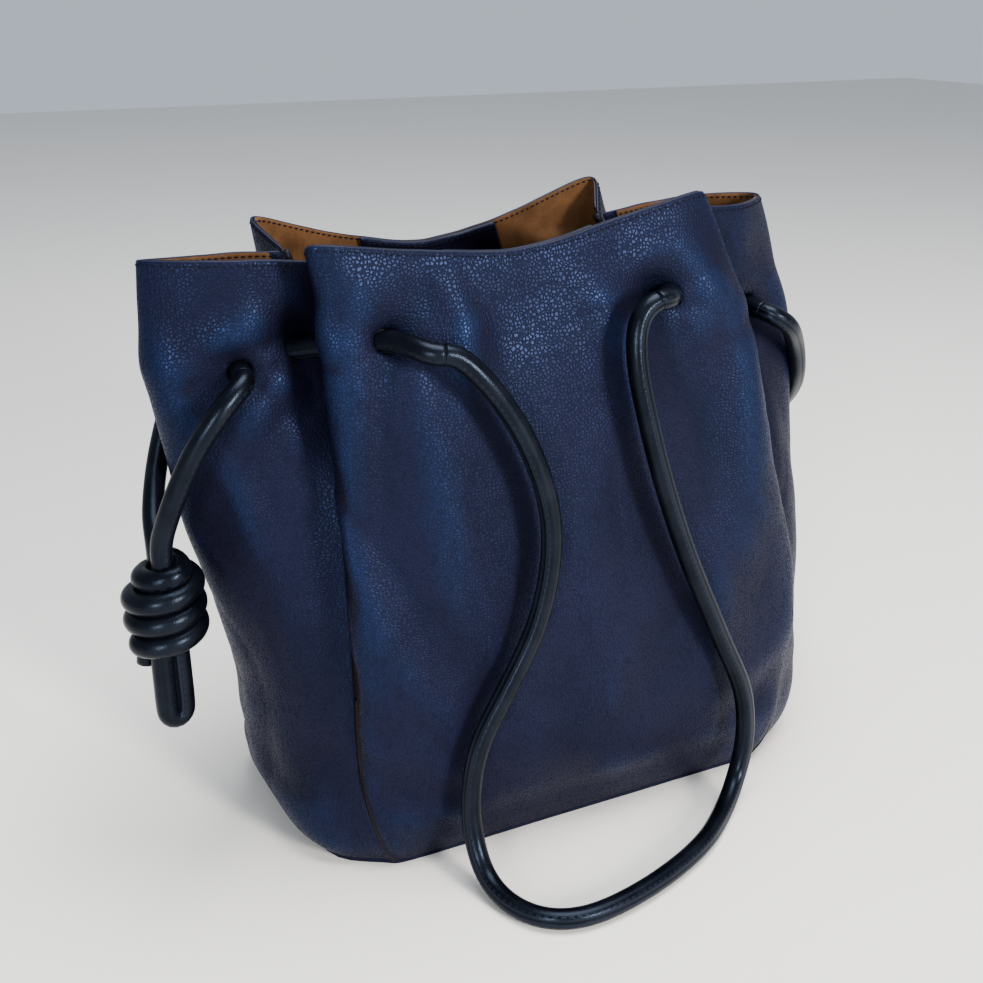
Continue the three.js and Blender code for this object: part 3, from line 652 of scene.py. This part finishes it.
def crumple(name, places):
    """How far the leather's soft folds and gathers move each place outwards, in metres."""
    steps = np.linalg.norm(np.diff(places, axis=1), axis=2)
    across = np.concatenate((np.zeros((len(places), 1)), np.cumsum(steps, axis=1)), axis=1)
    height = places[:, :, 2]
    moved = np.zeros(places.shape[:2])
    seed = {"front": 0, "back": 31, "left": 57, "right": 83}[name]
    for row in range(places.shape[0]):
        for column in range(places.shape[1]):
            a, z = across[row, column], height[row, column]
            broad = noise.noise(Vector((a * 15 + seed, z * 11, 0.3)))
            drape = noise.noise(Vector((a * 34 + seed, z * 8, 4.1)))
            ripple = noise.noise(Vector((a * 60 + seed, z * 42, 8.7)))
            creased = 1 - abs(noise.noise(Vector((a * 26 + 9 + seed, z * 17 + a * 9, 2.2)))) * 2.4
            moved[row, column] = 0.0019 * broad + 0.0011 * drape + 0.00035 * ripple
            moved[row, column] -= 0.0006 * max(0, creased - 0.6) / 0.4
    # Gathers fan out round each eyelet.
    for run, line in run_lines.items():
        distance = np.stack([np.linalg.norm(places - p, axis=2) for p in line[::2]])
        closest = np.unravel_index(distance.min(axis=0).argmin(), places.shape[:2])
        if distance.min() > EYELET_NEAR:
            continue
        passes = [closest]
        reach = distance.min(axis=0)
        far = np.abs(across - across[closest]) > NEXT_EYELET
        other = np.unravel_index(np.where(far, reach, 9).argmin(), places.shape[:2])
        if reach[other] < EYELET_NEAR:
            passes.append(other)
        for number, spot in enumerate(passes):
            sideways = across - across[spot]
            upwards = height - height[spot]
            away = np.hypot(sideways, upwards) + 1e-6
            angle = np.arctan2(upwards, sideways)
            fan = np.abs(np.sin(3.5 * angle + 1.3 * number + seed + 0.6 * np.sin(angle * 2)))
            envelope = np.clip((away - 0.005) / 0.012, 0, 1) * np.exp(-away / GATHER_FADE)
            envelope *= np.where(upwards > 0, 0.3, 1.0)
            moved += envelope * GATHER * (fan**0.6 - 0.75)
            moved -= DIMPLE * np.exp(-((away / DIMPLE_REACH) ** 2))
            # A hollow runs down below the eyelet between two soft ridges.
            if 0.1 < spot[1] / places.shape[1] < 0.9:
                lean = sideways + 0.25 * upwards * np.sign(spot[1] / places.shape[1] - 0.5)
                hollow = np.exp(-((lean / HOLLOW_REACH) ** 2))
                ridges = np.exp(-(((np.abs(lean) - RIDGE_ASIDE) / RIDGE_REACH) ** 2))
                fade = np.where(
                    upwards < 0, np.clip(1 + upwards / 0.15, 0, 1) ** 1.5,
                    np.exp(-((upwards / 0.012) ** 2)),
                )
                moved += fade * (RIDGE * ridges - HOLLOW * hollow)
    share = np.linspace(0, 1, places.shape[1])[None, :]
    by_height = np.clip(height / 0.03, 0, 1) * np.clip((0.3 - height) / 0.02, 0.35, 1)
    from_seams = np.clip(np.minimum(share, 1 - share) / 0.06, 0, 1)
    return moved * by_height * from_seams


SAG_FRAMES = 26
SAG_LIMIT = 4 * MM
HELD_BY_CORD = 7 * MM                           # how far from a cord the leather is held firmly
LEAST_HELD, RIM_HELD = 0.12, 0.7                # shares, where 1 can't move at all
HELD_ROWS, RIM_ROWS = 3, 2                      # at the base and at the rim


def grid_of(places):
    """A mesh of places in rows and columns, and each vertex's row and column by its index."""
    rows, columns = places.shape[0] - 1, places.shape[1] - 1
    bm = bmesh.new()
    bm.loops.layers.uv.new("UVMap")
    bmesh.ops.create_grid(bm, x_segments=columns, y_segments=rows, size=0.5, calc_uvs=True)
    spots = []
    for vert in bm.verts:
        spots.append((round((vert.co.y + 0.5) * rows), round((vert.co.x + 0.5) * columns)))
        vert.co = places[spots[-1]]
    return bm, spots


def finer_rows(grid, count):
    """A grid of places with count rows, in straight lines between those that it has."""
    marks = np.linspace(0, len(grid) - 1, count)
    return np.apply_along_axis(lambda line: np.interp(marks, range(len(grid)), line), 0, grid)


def let_sag(shape):
    """The four walls sewn into one ring, let down under their own weight for a moment."""
    names = ("front", "right", "back", "left")
    coarse = [shape[name][0][::2, ::2][:, :-1] for name in names]
    ring = np.concatenate(coarse, axis=1)
    rows, columns = ring.shape[:2]
    bm, order = grid_of(np.concatenate((ring, ring[:, :1]), axis=1))
    where = bm.verts.layers.int.new("where")
    for vert, (row, column) in zip(bm.verts, order):
        vert[where] = row * columns + column % columns
    bmesh.ops.remove_doubles(bm, verts=bm.verts, dist=1e-7)
    sewn = finish_piece("sag", bm, [])
    hold = sewn.vertex_groups.new(name="hold")
    spots = np.zeros(len(sewn.data.vertices), int)
    sewn.data.attributes["where"].data.foreach_get("value", spots)
    near_cord = from_cord(ring, HELD_BY_CORD)
    ends = np.cumsum([0] + [part.shape[1] for part in coarse])[:-1]
    for index, spot in enumerate(spots):
        row, column = divmod(int(spot), columns)
        from_end = min(min((column - end) % columns, (end - column) % columns) for end in ends)
        held = max(near_cord[row, column], LEAST_HELD)
        if row >= rows - RIM_ROWS:
            held = max(held, RIM_HELD)
        if row <= HELD_ROWS or from_end <= 1:
            held = 1
        hold.add([index], held, "REPLACE")
    cloth = sewn.modifiers.new("cloth", "CLOTH")
    settings = cloth.settings
    settings.quality = 6
    settings.mass = 0.3
    settings.tension_stiffness = 25
    settings.compression_stiffness = 25
    settings.shear_stiffness = 12
    settings.bending_stiffness = 0.6
    settings.vertex_group_mass = "hold"
    settings.pin_stiffness = 0.9
    settings.shrink_min = -0.045
    cloth.point_cache.frame_start = 1
    cloth.point_cache.frame_end = 40
    scene = bpy.context.scene
    for number in range(1, SAG_FRAMES + 1):
        scene.frame_set(number)
    settled = sewn.evaluated_get(bpy.context.evaluated_depsgraph_get())
    after = np.zeros(len(settled.data.vertices) * 3)
    settled.data.vertices.foreach_get("co", after)
    after = after.reshape(-1, 3)
    moved = np.zeros_like(ring)
    for index, spot in enumerate(spots):
        row, column = divmod(int(spot), columns)
        moved[row, column] = after[index] - ring[row, column]
    bpy.data.objects.remove(sewn)
    scene.frame_set(1)
    size = np.linalg.norm(moved, axis=2, keepdims=True) + 1e-9
    moved *= np.tanh(size / SAG_LIMIT) * SAG_LIMIT / size
    sags, start = {}, 0
    for name, part in zip(names, coarse):
        width = part.shape[1]
        own = np.take(moved, range(start, start + width + 1), axis=1, mode="wrap")
        start += width
        full_rows, full_columns = shape[name][0].shape[:2]
        tall = finer_rows(own, full_rows)
        sags[name] = finer_rows(tall.swapaxes(0, 1), full_columns).swapaxes(0, 1)
    return sags


SAG_EVENINGS, RELIEF_EVENINGS = 8, 14
# Folds that stand out take a painted highlight, hollows a painted shade, in full at this relief.
FULL_RELIEF = 1.4 * MM                          # how far a fold stands out to be palest
sags = let_sag(shape)
walls = {}
for name, (places, outward) in shape.items():
    sag = spread_out(sags.get(name, np.zeros_like(places)), SAG_EVENINGS)
    folds = crumple(name, places)
    formed = places + sag + outward * folds[:, :, None]
    # How far each place stands out from the evened-out wall, from which the calf paints highlights
    # on folds and shade in hollows.
    relief = ((formed - spread_out(formed, RELIEF_EVENINGS)) * outward).sum(axis=2)
    relief = np.clip(relief / FULL_RELIEF, -1, 1)
    walls[name] = {"places": formed, "outward": outward, "relief": relief}


def pebbled_leather(name):
    """Soft calf, dyed navy and milled: pebbles, a painted blue highlight on folds, painted shade
    in hollows and between pebbles.
    """
    finish, tree, shader = new_finish(name, Specular_IOR_Level=0.27)
    shader.inputs["Specular Tint"].default_value = (0.34, 0.50, 0.95, 1)
    place = Shade.node(tree, "TexCoord", {}, {}, "Object")
    relief = Shade.node(tree, "Attribute", {"attribute_name": "relief"}, {}, "Fac")
    drift = Shade.node(tree, "TexNoise", {}, {"Vector": place, "Scale": 210, "Detail": 2}, "Color")
    shift = Shade.node(
        tree, "VectorMath", {"operation": "MULTIPLY_ADD"},
        {0: drift, 1: (0.0016, 0.0016, 0.0016), 2: place},
    )
    groove = Shade.node(
        tree, "TexVoronoi", {"feature": "DISTANCE_TO_EDGE"},
        {"Vector": shift, "Scale": 600, "Randomness": 0.85},
    )
    finer = Shade.node(
        tree, "TexVoronoi", {"feature": "DISTANCE_TO_EDGE"},
        {"Vector": shift, "Scale": 1300, "Randomness": 1.0},
    )
    pores = cloudy(tree, 2600, 2)
    broad = cloudy(tree, 16, 5)
    wear_and_sheen = cloudy(tree, 60, 6)
    pebble = groove.between(0.0, 0.24)
    small = finer.between(0.0, 0.35)
    tone = broad.between(0.36, 0.66).tint((0.0066, 0.0050, 0.0125), (0.0090, 0.0070, 0.0180))
    # Raised folds are painted a paler blue: a painted highlight, its strength varied in patches.
    painted_fold_highlight = relief.between(0.05, 1.3) * (0.4 + 0.4 * wear_and_sheen)
    tone = painted_fold_highlight.tint(tone, (0.009, 0.018, 0.052))
    # The hollows of the folds are painted darker: painted shade.
    tone = (relief * -1).between(0.1, 1.1).tint(tone, (0.003, 0.003, 0.008))
    # The grooves between the pebbles are painted darker: painted shade.
    tone = ((1 - pebble) * 0.6).tint(tone, (0.0022, 0.0018, 0.0045))
    rough = 0.33 + 0.06 * wear_and_sheen + (1 - pebble) * 0.25 - relief * 0.03
    height = pebble + small * 0.1 + pores * 0.04 + wear_and_sheen * 0.3
    connect(
        tree, shader, Base_Color=tone, Roughness=rough, Normal=raised(tree, height, 0.00013, 0.7)
    )
    return finish


def painted_edge(name, tone):
    """The cut edge of the leather, sanded and painted in a few coats."""
    finish, tree, shader = new_finish(name, Specular_IOR_Level=0.2)
    ripple = cloudy(tree, 420, 4)
    patch = cloudy(tree, 45, 3)
    dark = tuple(0.7 * part for part in tone)
    connect(
        tree, shader, Base_Color=patch.between(0.3, 0.7).tint(dark, tone),
        Roughness=0.38 + ripple * 0.2, Normal=raised(tree, ripple, 0.00015, 0.6),
    )
    return finish


calf = pebbled_leather("pebbled_navy_calf")
edge_paint = painted_edge("edge_paint", (0.016, 0.018, 0.036))


def eyelet_passes(bm):
    """Where the cords' runs go through a sheet, and in which direction."""
    tree = BVHTree.FromBMesh(bm)
    passes = []
    for line in run_lines.values():
        for start, stop in zip(line, line[1:]):
            step = Vector(stop - start)
            hit = tree.ray_cast(Vector(start), step.normalized(), step.length)
            if hit[0] is not None:
                if all((hit[0] - other).length > EYELET_NEAR for other, _ in passes):
                    passes.append((hit[0], step.normalized()))
    return passes


PUNCH_REACH = 3.2       # how far round a hole the sheet makes room for it, in radii
PUNCH_RIM = 1.12        # how near the hole's edge the rest of the sheet may come


def punch(bm, middle, way, radius):
    """Opens a round hole in a sheet, wide enough for a cord that goes through it along way."""
    nearest = min(bm.verts, key=lambda vert: (vert.co - middle).length)
    if nearest.is_boundary:
        return
    round_it = {other for face in nearest.link_faces for other in face.verts} - {nearest}
    bmesh.ops.delete(bm, geom=[nearest], context="VERTS")
    widest = 0.0
    for vert in round_it:
        offset = vert.co - middle
        offset -= way * offset.dot(way)
        widest = max(widest, offset.length)
    for vert in bm.verts:
        offset = vert.co - middle
        along = way * offset.dot(way)
        if offset.length > 4.5 * radius or along.length > 2 * radius:
            continue
        flat = offset - along
        if vert in round_it:
            vert.co = middle + along + flat.normalized() * radius
        else:
            reach = PUNCH_REACH * radius
            if flat.length < reach:
                part = max(0.0, (flat.length - widest * 0.8) / (reach - widest * 0.8))
                nearest_to = PUNCH_RIM * radius
                wanted = nearest_to + (reach - nearest_to) * part
                vert.co = middle + along + flat.normalized() * max(wanted, flat.length)


def thicken(piece, thickness, offset, smoothing):
    """Gives a sheet its thickness, with its second material on the cut edge, and smooths it."""
    thick = piece.modifiers.new("thickness", "SOLIDIFY")
    thick.thickness = thickness
    thick.offset = offset
    thick.material_offset_rim = 1
    smooth = piece.modifiers.new("smooth", "SUBSURF")
    smooth.levels = smooth.render_levels = smoothing


def sheet_on_wall(name, wall, depth, rows, columns, thickness, materials, hole):
    """A sheet of leather or suede on a wall, some way inside its outer face, with its eyelets."""
    places, outward = walls[wall]["places"][rows, columns], walls[wall]["outward"][rows, columns]
    relief = walls[wall]["relief"][rows, columns]
    bm, spots = grid_of(places - outward * depth)
    # Each vertex keeps its relief, which the calf's finish turns into painted highlights on folds
    # and painted shade in hollows.
    layer = bm.verts.layers.float.new("relief")
    for vert, spot in zip(bm.verts, spots):
        vert[layer] = relief[spot]
    for middle, way in eyelet_passes(bm):
        punch(bm, middle, way, hole)
    piece = finish_piece(name, bm, materials)
    thicken(piece, thickness, offset=-1, smoothing=1)
    return piece


EYELET, SUEDE_EYELET = CORD / 2 + 0.8 * MM, CORD / 2 + 1.1 * MM
for wall, kind in (("front", "panel"), ("back", "panel"), ("left", "gusset"), ("right", "gusset")):
    leather = sheet_on_wall(
        f"{wall}_leather", wall, 0, slice(None), slice(None), LEATHER, [calf, edge_paint],
        EYELET,
    )
    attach(leather, "bag")
    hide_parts(f"{wall}_{kind}")

# ---------------------------------------------------------------- suede linings
# Tan-brown split suede, glued to the back of each wall and turned up to its rim, where both cut
# edges are sewn and painted together. It shows its nap in lighter and darker strokes.
def napped_suede(name):
    """Brushed split leather: strokes of raised and laid nap, matt, with a little sheen."""
    finish, tree, shader = new_finish(
        name, Specular_IOR_Level=0.2, Sheen_Weight=0.15, Sheen_Roughness=0.6
    )
    shader.inputs["Sheen Tint"].default_value = (1.0, 0.75, 0.45, 1)
    strokes = cloudy(tree, 55, 6, Distortion=1.2)
    nap = cloudy(tree, 1300, 4)
    broad = cloudy(tree, 13, 3)
    tone = strokes.between(0.32, 0.68).tint((0.070, 0.031, 0.014), (0.130, 0.064, 0.029))
    tone = (broad.between(0.3, 0.75) * 0.5).tint(tone, (0.12, 0.055, 0.022))
    tone = (nap.between(0.35, 0.75) * 0.35).tint(tone, (0.06, 0.026, 0.011))
    connect(
        tree, shader, Base_Color=tone, Roughness=0.86 + 0.1 * nap,
        Normal=raised(tree, nap * 0.7 + strokes * 0.6, 0.0004, 0.6),
    )
    return finish


suede = napped_suede("tan_suede")
for wall in ("front", "back", "left", "right"):
    lining = sheet_on_wall(
        f"{wall}_suede", wall, LEATHER + 0.2 * MM, slice(1, None), slice(2, -2), LINING,
        [suede, edge_paint], SUEDE_EYELET,
    )
    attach(lining, "bag")
    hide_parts(f"{wall}_lining")

# ---------------------------------------------------------------- corner pipings
# An edge-painted cord of leather is sewn into each of the four seams, from base to rim.
PIPING = 3.7 * MM
PIPING_OUT = 0.9 * MM
PIPING_BELOW_RIM, PIPING_ABOVE_BASE = 0.6 * MM, 0.4 * MM
piping_paint = painted_edge("piping_paint", (0.006, 0.006, 0.012))
SEAM_COLUMNS = {
    "left_front": ("front", 0), "right_front": ("front", -1),
    "right_back": ("back", 0), "left_back": ("back", -1),
}
for name, (wall, end) in SEAM_COLUMNS.items():
    places, outward = walls[wall]["places"], walls[wall]["outward"]
    seam = places[:, end] - outward[:, end] * LEATHER
    toward = places[:, end] - places[:, 1 if end == 0 else -2]
    seam = seam + toward / np.linalg.norm(toward, axis=1)[:, None] * PIPING_OUT
    seam[-1, 2] -= PIPING_BELOW_RIM
    seam[0, 2] += PIPING_ABOVE_BASE
    piping = rolled_cord(
        f"{name}_seam_piping", even_line(seam[::2], 3 * MM), PIPING, piping_paint,
        sides=12, groove=0.0,
    )
    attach(piping, "bag")
    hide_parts(f"{name}_piping")

# ---------------------------------------------------------------- base
# One flat piece of the same calf under a stiff board, with a suede-covered floor inside. The
# walls are sewn to its turned-up edge.
def flat_piece(name, outline, bottom, thickness, materials, rounding):
    """A plate with rounded edges, cut to an outline."""
    bm = bmesh.new()
    for x, y in outline:
        bm.verts.new((x, y, bottom))
    sole = bm.faces.new(bm.verts)
    sole.normal_update()
    if sole.normal.z < 0:
        sole.normal_flip()
    raised_part = bmesh.ops.extrude_face_region(bm, geom=[sole])["geom"]
    risen = [part for part in raised_part if isinstance(part, bmesh.types.BMVert)]
    bmesh.ops.translate(bm, verts=risen, vec=(0, 0, thickness))
    bmesh.ops.recalc_face_normals(bm, faces=bm.faces)
    rims = [edge for edge in bm.edges if edge.calc_face_angle(0) > 1.0
            and abs(edge.verts[0].co.z - edge.verts[1].co.z) < 1e-6]
    bmesh.ops.bevel(
        bm, geom=rims, offset=rounding, offset_type="OFFSET", affect="EDGES", segments=3,
        profile=0.5, material=-1,
    )
    return finish_piece(name, bm, materials, smooth=False)


def plan_of_walls(row, inset):
    """The outline round all four walls at one row, some way inside their outer faces."""
    outline = []
    for wall in ("front", "right", "back", "left"):
        places, outward = walls[wall]["places"][row], walls[wall]["outward"][row]
        edge = (places - outward * inset)[::3]
        outline += [(x, y) for x, y, _ in edge]
    return outline


base_leather = flat_piece(
    "base_leather", plan_of_walls(row=0, inset=0.7 * MM), bottom=0, thickness=2.2 * MM,
    materials=[calf], rounding=0.7 * MM,
)
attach(base_leather, "bag")
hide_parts("base_panel")

floor_suede = flat_piece(
    "base_suede", plan_of_walls(row=1, inset=2.8 * MM), bottom=4.6 * MM, thickness=LINING,
    materials=[suede], rounding=0.3 * MM,
)
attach(floor_suede, "bag")
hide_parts("base_lining")

board_finish, tree, shader = new_finish("grey_board")
fibres = cloudy(tree, 600, 5)
connect(
    tree, shader, Base_Color=fibres.tint((0.32, 0.27, 0.2), (0.5, 0.43, 0.33)),
    Roughness=0.85 + 0.1 * fibres, Normal=raised(tree, fibres, 0.0003, 0.5),
)
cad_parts["base_board"].data.materials.clear()
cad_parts["base_board"].data.materials.append(board_finish)

# ---------------------------------------------------------------- magnet facings
# Inside the rim, front and back, a small calf patch padded over a steel disc magnet is sewn to the
# suede, so that the mouth snaps shut.
FACING_DEPTH = LEATHER + LINING + 0.8 * MM
FACING_HALF_WIDTH = 40 * MM
FACING_HEIGHT = 31 * MM
FACING_THICK = 3.0 * MM
FACING_PADDING = 0.2 * MM
facing_sets = {}
for wall in ("front", "back"):
    places, outward = walls[wall]["places"], walls[wall]["outward"]
    middle_column = places.shape[1] // 2
    heights_up = places[:, middle_column, 2]
    reach = np.linalg.norm(places[-4] - places[-4, middle_column], axis=1)
    columns = np.where(reach < FACING_HALF_WIDTH)[0]
    rows = np.where(heights_up > heights_up[-1] - FACING_HEIGHT)[0]
    patch = places[rows[0]:rows[-1] + 1, columns[0]:columns[-1] + 1]
    way = outward[rows[0]:rows[-1] + 1, columns[0]:columns[-1] + 1]
    patch = patch - way * FACING_DEPTH
    padding = np.zeros((*patch.shape[:2], 1))
    padding[1:-1, 1:-1] = FACING_PADDING
    bm, _ = grid_of(patch - way * padding)
    bmesh.ops.reverse_faces(bm, faces=bm.faces)
    facing = finish_piece(f"{wall}_facing_patch", bm, [calf, edge_paint])
    thicken(facing, FACING_THICK, offset=1, smoothing=2)
    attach(facing, "bag")
    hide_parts(f"{wall}_magnet_facing")
    facing_sets[wall] = (patch, way)

steel, tree, shader = new_finish("turned_steel")
brushed = cloudy(tree, 900, 3)
shader.inputs["Metallic"].default_value = 1
connect(
    tree, shader, Base_Color=brushed.tint((0.5, 0.5, 0.52), (0.66, 0.66, 0.68)),
    Roughness=0.25 + 0.15 * brushed, Normal=raised(tree, brushed, 0.0001, 0.3),
)
MAGNET_RADIUS, MAGNET_THICK = 7 * MM, 1.8 * MM
for wall, (patch, way) in facing_sets.items():
    row, column = patch.shape[0] // 2, patch.shape[1] // 2
    inward = Vector(-way[row, column])
    turn = inward.to_track_quat("Z", "Y").to_matrix().to_4x4()
    bm = bmesh.new()
    bmesh.ops.create_cone(
        bm, cap_ends=True, segments=48, radius1=MAGNET_RADIUS, radius2=MAGNET_RADIUS,
        depth=MAGNET_THICK,
        matrix=Matrix.Translation(Vector(patch[row, column]) + inward * FACING_THICK / 2) @ turn,
    )
    rims = [edge for edge in bm.edges if edge.calc_face_angle(0) > 1.0]
    bmesh.ops.bevel(
        bm, geom=rims, offset=0.3 * MM, offset_type="OFFSET", affect="EDGES", segments=2,
        profile=0.5, material=-1,
    )
    magnet = finish_piece(f"{wall}_disc_magnet", bm, [steel], smooth=False)
    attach(magnet, "bag")
    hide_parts(f"{wall}_magnet")

# ---------------------------------------------------------------- stitching
# Waxed navy thread, about eight stitches to the inch: a row round the outside of the rim through
# leather and suede, the same row inside, and a row round each facing.
thread, tree, shader = new_finish("waxed_thread", Specular_IOR_Level=0.12)
twist = cloudy(tree, 3000, 2)
connect(
    tree, shader, Base_Color=twist.tint((0.003, 0.003, 0.007), (0.008, 0.009, 0.018)),
    Roughness=0.5 + 0.2 * twist, Normal=raised(tree, twist, 0.0001, 0.6),
)


STITCH_PITCH, STITCH, THREAD = 3.1 * MM, 2.3 * MM, 0.62 * MM


def stitch_along(bm, line, outward):
    """Stitches laid end to end along a line on a sheet, each a short length of thread."""
    reach = np.concatenate(([0], np.cumsum(np.linalg.norm(np.diff(line, axis=0), axis=1))))
    for mark in np.arange(STITCH_PITCH, reach[-1] - STITCH_PITCH, STITCH_PITCH):
        ends = [
            np.array([np.interp(mark + part, reach, line[:, axis]) for axis in range(3)])
            for part in (-STITCH / 2, STITCH / 2)
        ]
        out = Vector([np.interp(mark, reach, outward[:, axis]) for axis in range(3)]).normalized()
        along = Vector(ends[1] - ends[0]).normalized()
        side = out.cross(along).normalized()
        out = along.cross(side)
        turn = Matrix((along, side, out)).transposed().to_4x4()
        middle = Matrix.Translation(Vector((ends[0] + ends[1]) / 2) + out * THREAD * 0.12)
        size = Matrix.Diagonal((STITCH / 2, THREAD * 0.75, THREAD / 2, 1))
        bmesh.ops.create_uvsphere(
            bm, u_segments=6, v_segments=5, radius=1, matrix=middle @ turn @ size
        )


STITCH_BELOW_RIM = 2.3 * MM
OFF_SURFACE = 0.25 * MM
bm = bmesh.new()
for wall in ("front", "right", "back", "left"):
    places, outward = walls[wall]["places"], walls[wall]["outward"]
    for depth, facing_way in ((0, 1), (LEATHER + LINING + OFF_SURFACE, -1)):
        row = np.zeros((places.shape[1], 3))
        for column in range(places.shape[1]):
            up = places[::-1, column, 2]
            wanted = up[0] - STITCH_BELOW_RIM
            for axis in range(3):
                row[column, axis] = np.interp(-wanted, -up, places[::-1, column, axis])
        row = row - outward[-1] * depth
        stitch_along(bm, row[1:-1], outward[-1, 1:-1] * facing_way)
rim_thread = finish_piece("rim_stitching", bm, [thread])
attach(rim_thread, "bag")

bm = bmesh.new()
for patch, way in facing_sets.values():
    inner = patch[1:-1, 1:-1] - way[1:-1, 1:-1] * (FACING_THICK + OFF_SURFACE)
    inner_way = -way[1:-1, 1:-1]
    ring = np.concatenate((inner[0], inner[1:, -1], inner[-1, -2::-1], inner[-2::-1, 0]))
    ring_way = np.concatenate((
        inner_way[0], inner_way[1:, -1], inner_way[-1, -2::-1], inner_way[-2::-1, 0],
    ))
    stitch_along(bm, ring, ring_way)
facing_thread = finish_piece("facing_stitching", bm, [thread])
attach(facing_thread, "bag")

# ---------------------------------------------------------------- table and light
# A plain pale table top, a window light in front of the bag to the right, a weaker one to the
# left, and a broad soft light overhead.
bm = bmesh.new()
bmesh.ops.create_grid(bm, x_segments=1, y_segments=1, size=4)
table_finish, tree, shader = new_finish("pale_table", Roughness=0.55)
patches = cloudy(tree, 3, 3)
connect(tree, shader, Base_Color=patches.tint((0.74, 0.71, 0.66), (0.78, 0.75, 0.70)))
table = finish_piece("table", bm, [table_finish], smooth=False)

scene = bpy.context.scene
scene.view_settings.look = "AgX - Medium High Contrast"
world = bpy.data.worlds.new("studio")
scene.world = world
world.use_nodes = True
world.node_tree.nodes["Background"].inputs["Color"].default_value = (0.80, 0.88, 1.0, 1)
world.node_tree.nodes["Background"].inputs["Strength"].default_value = 0.55


def soft_light(name, place, aim, size, watts, tone):
    light = bpy.data.objects.new(name, bpy.data.lights.new(name, "AREA"))
    light.data.shape = "RECTANGLE"
    light.data.size, light.data.size_y = size
    light.data.energy = watts
    light.data.color = tone
    light.location = place
    light.rotation_euler = (Vector(aim) - Vector(place)).to_track_quat("-Z", "Y").to_euler()
    bpy.context.scene.collection.objects.link(light)


soft_light("window", (0.55, -1.9, 0.75), (0, 0, 0.16), (0.35, 0.6), 52, (1.0, 0.98, 0.95))
soft_light("far_window", (-1.3, -1.5, 0.6), (0, 0, 0.16), (0.25, 0.6), 24, (0.95, 0.97, 1.0))
soft_light("overhead", (0.2, -0.2, 1.9), (0, 0, 0.0), (1.2, 1.2), 46, (0.97, 0.98, 1.0))
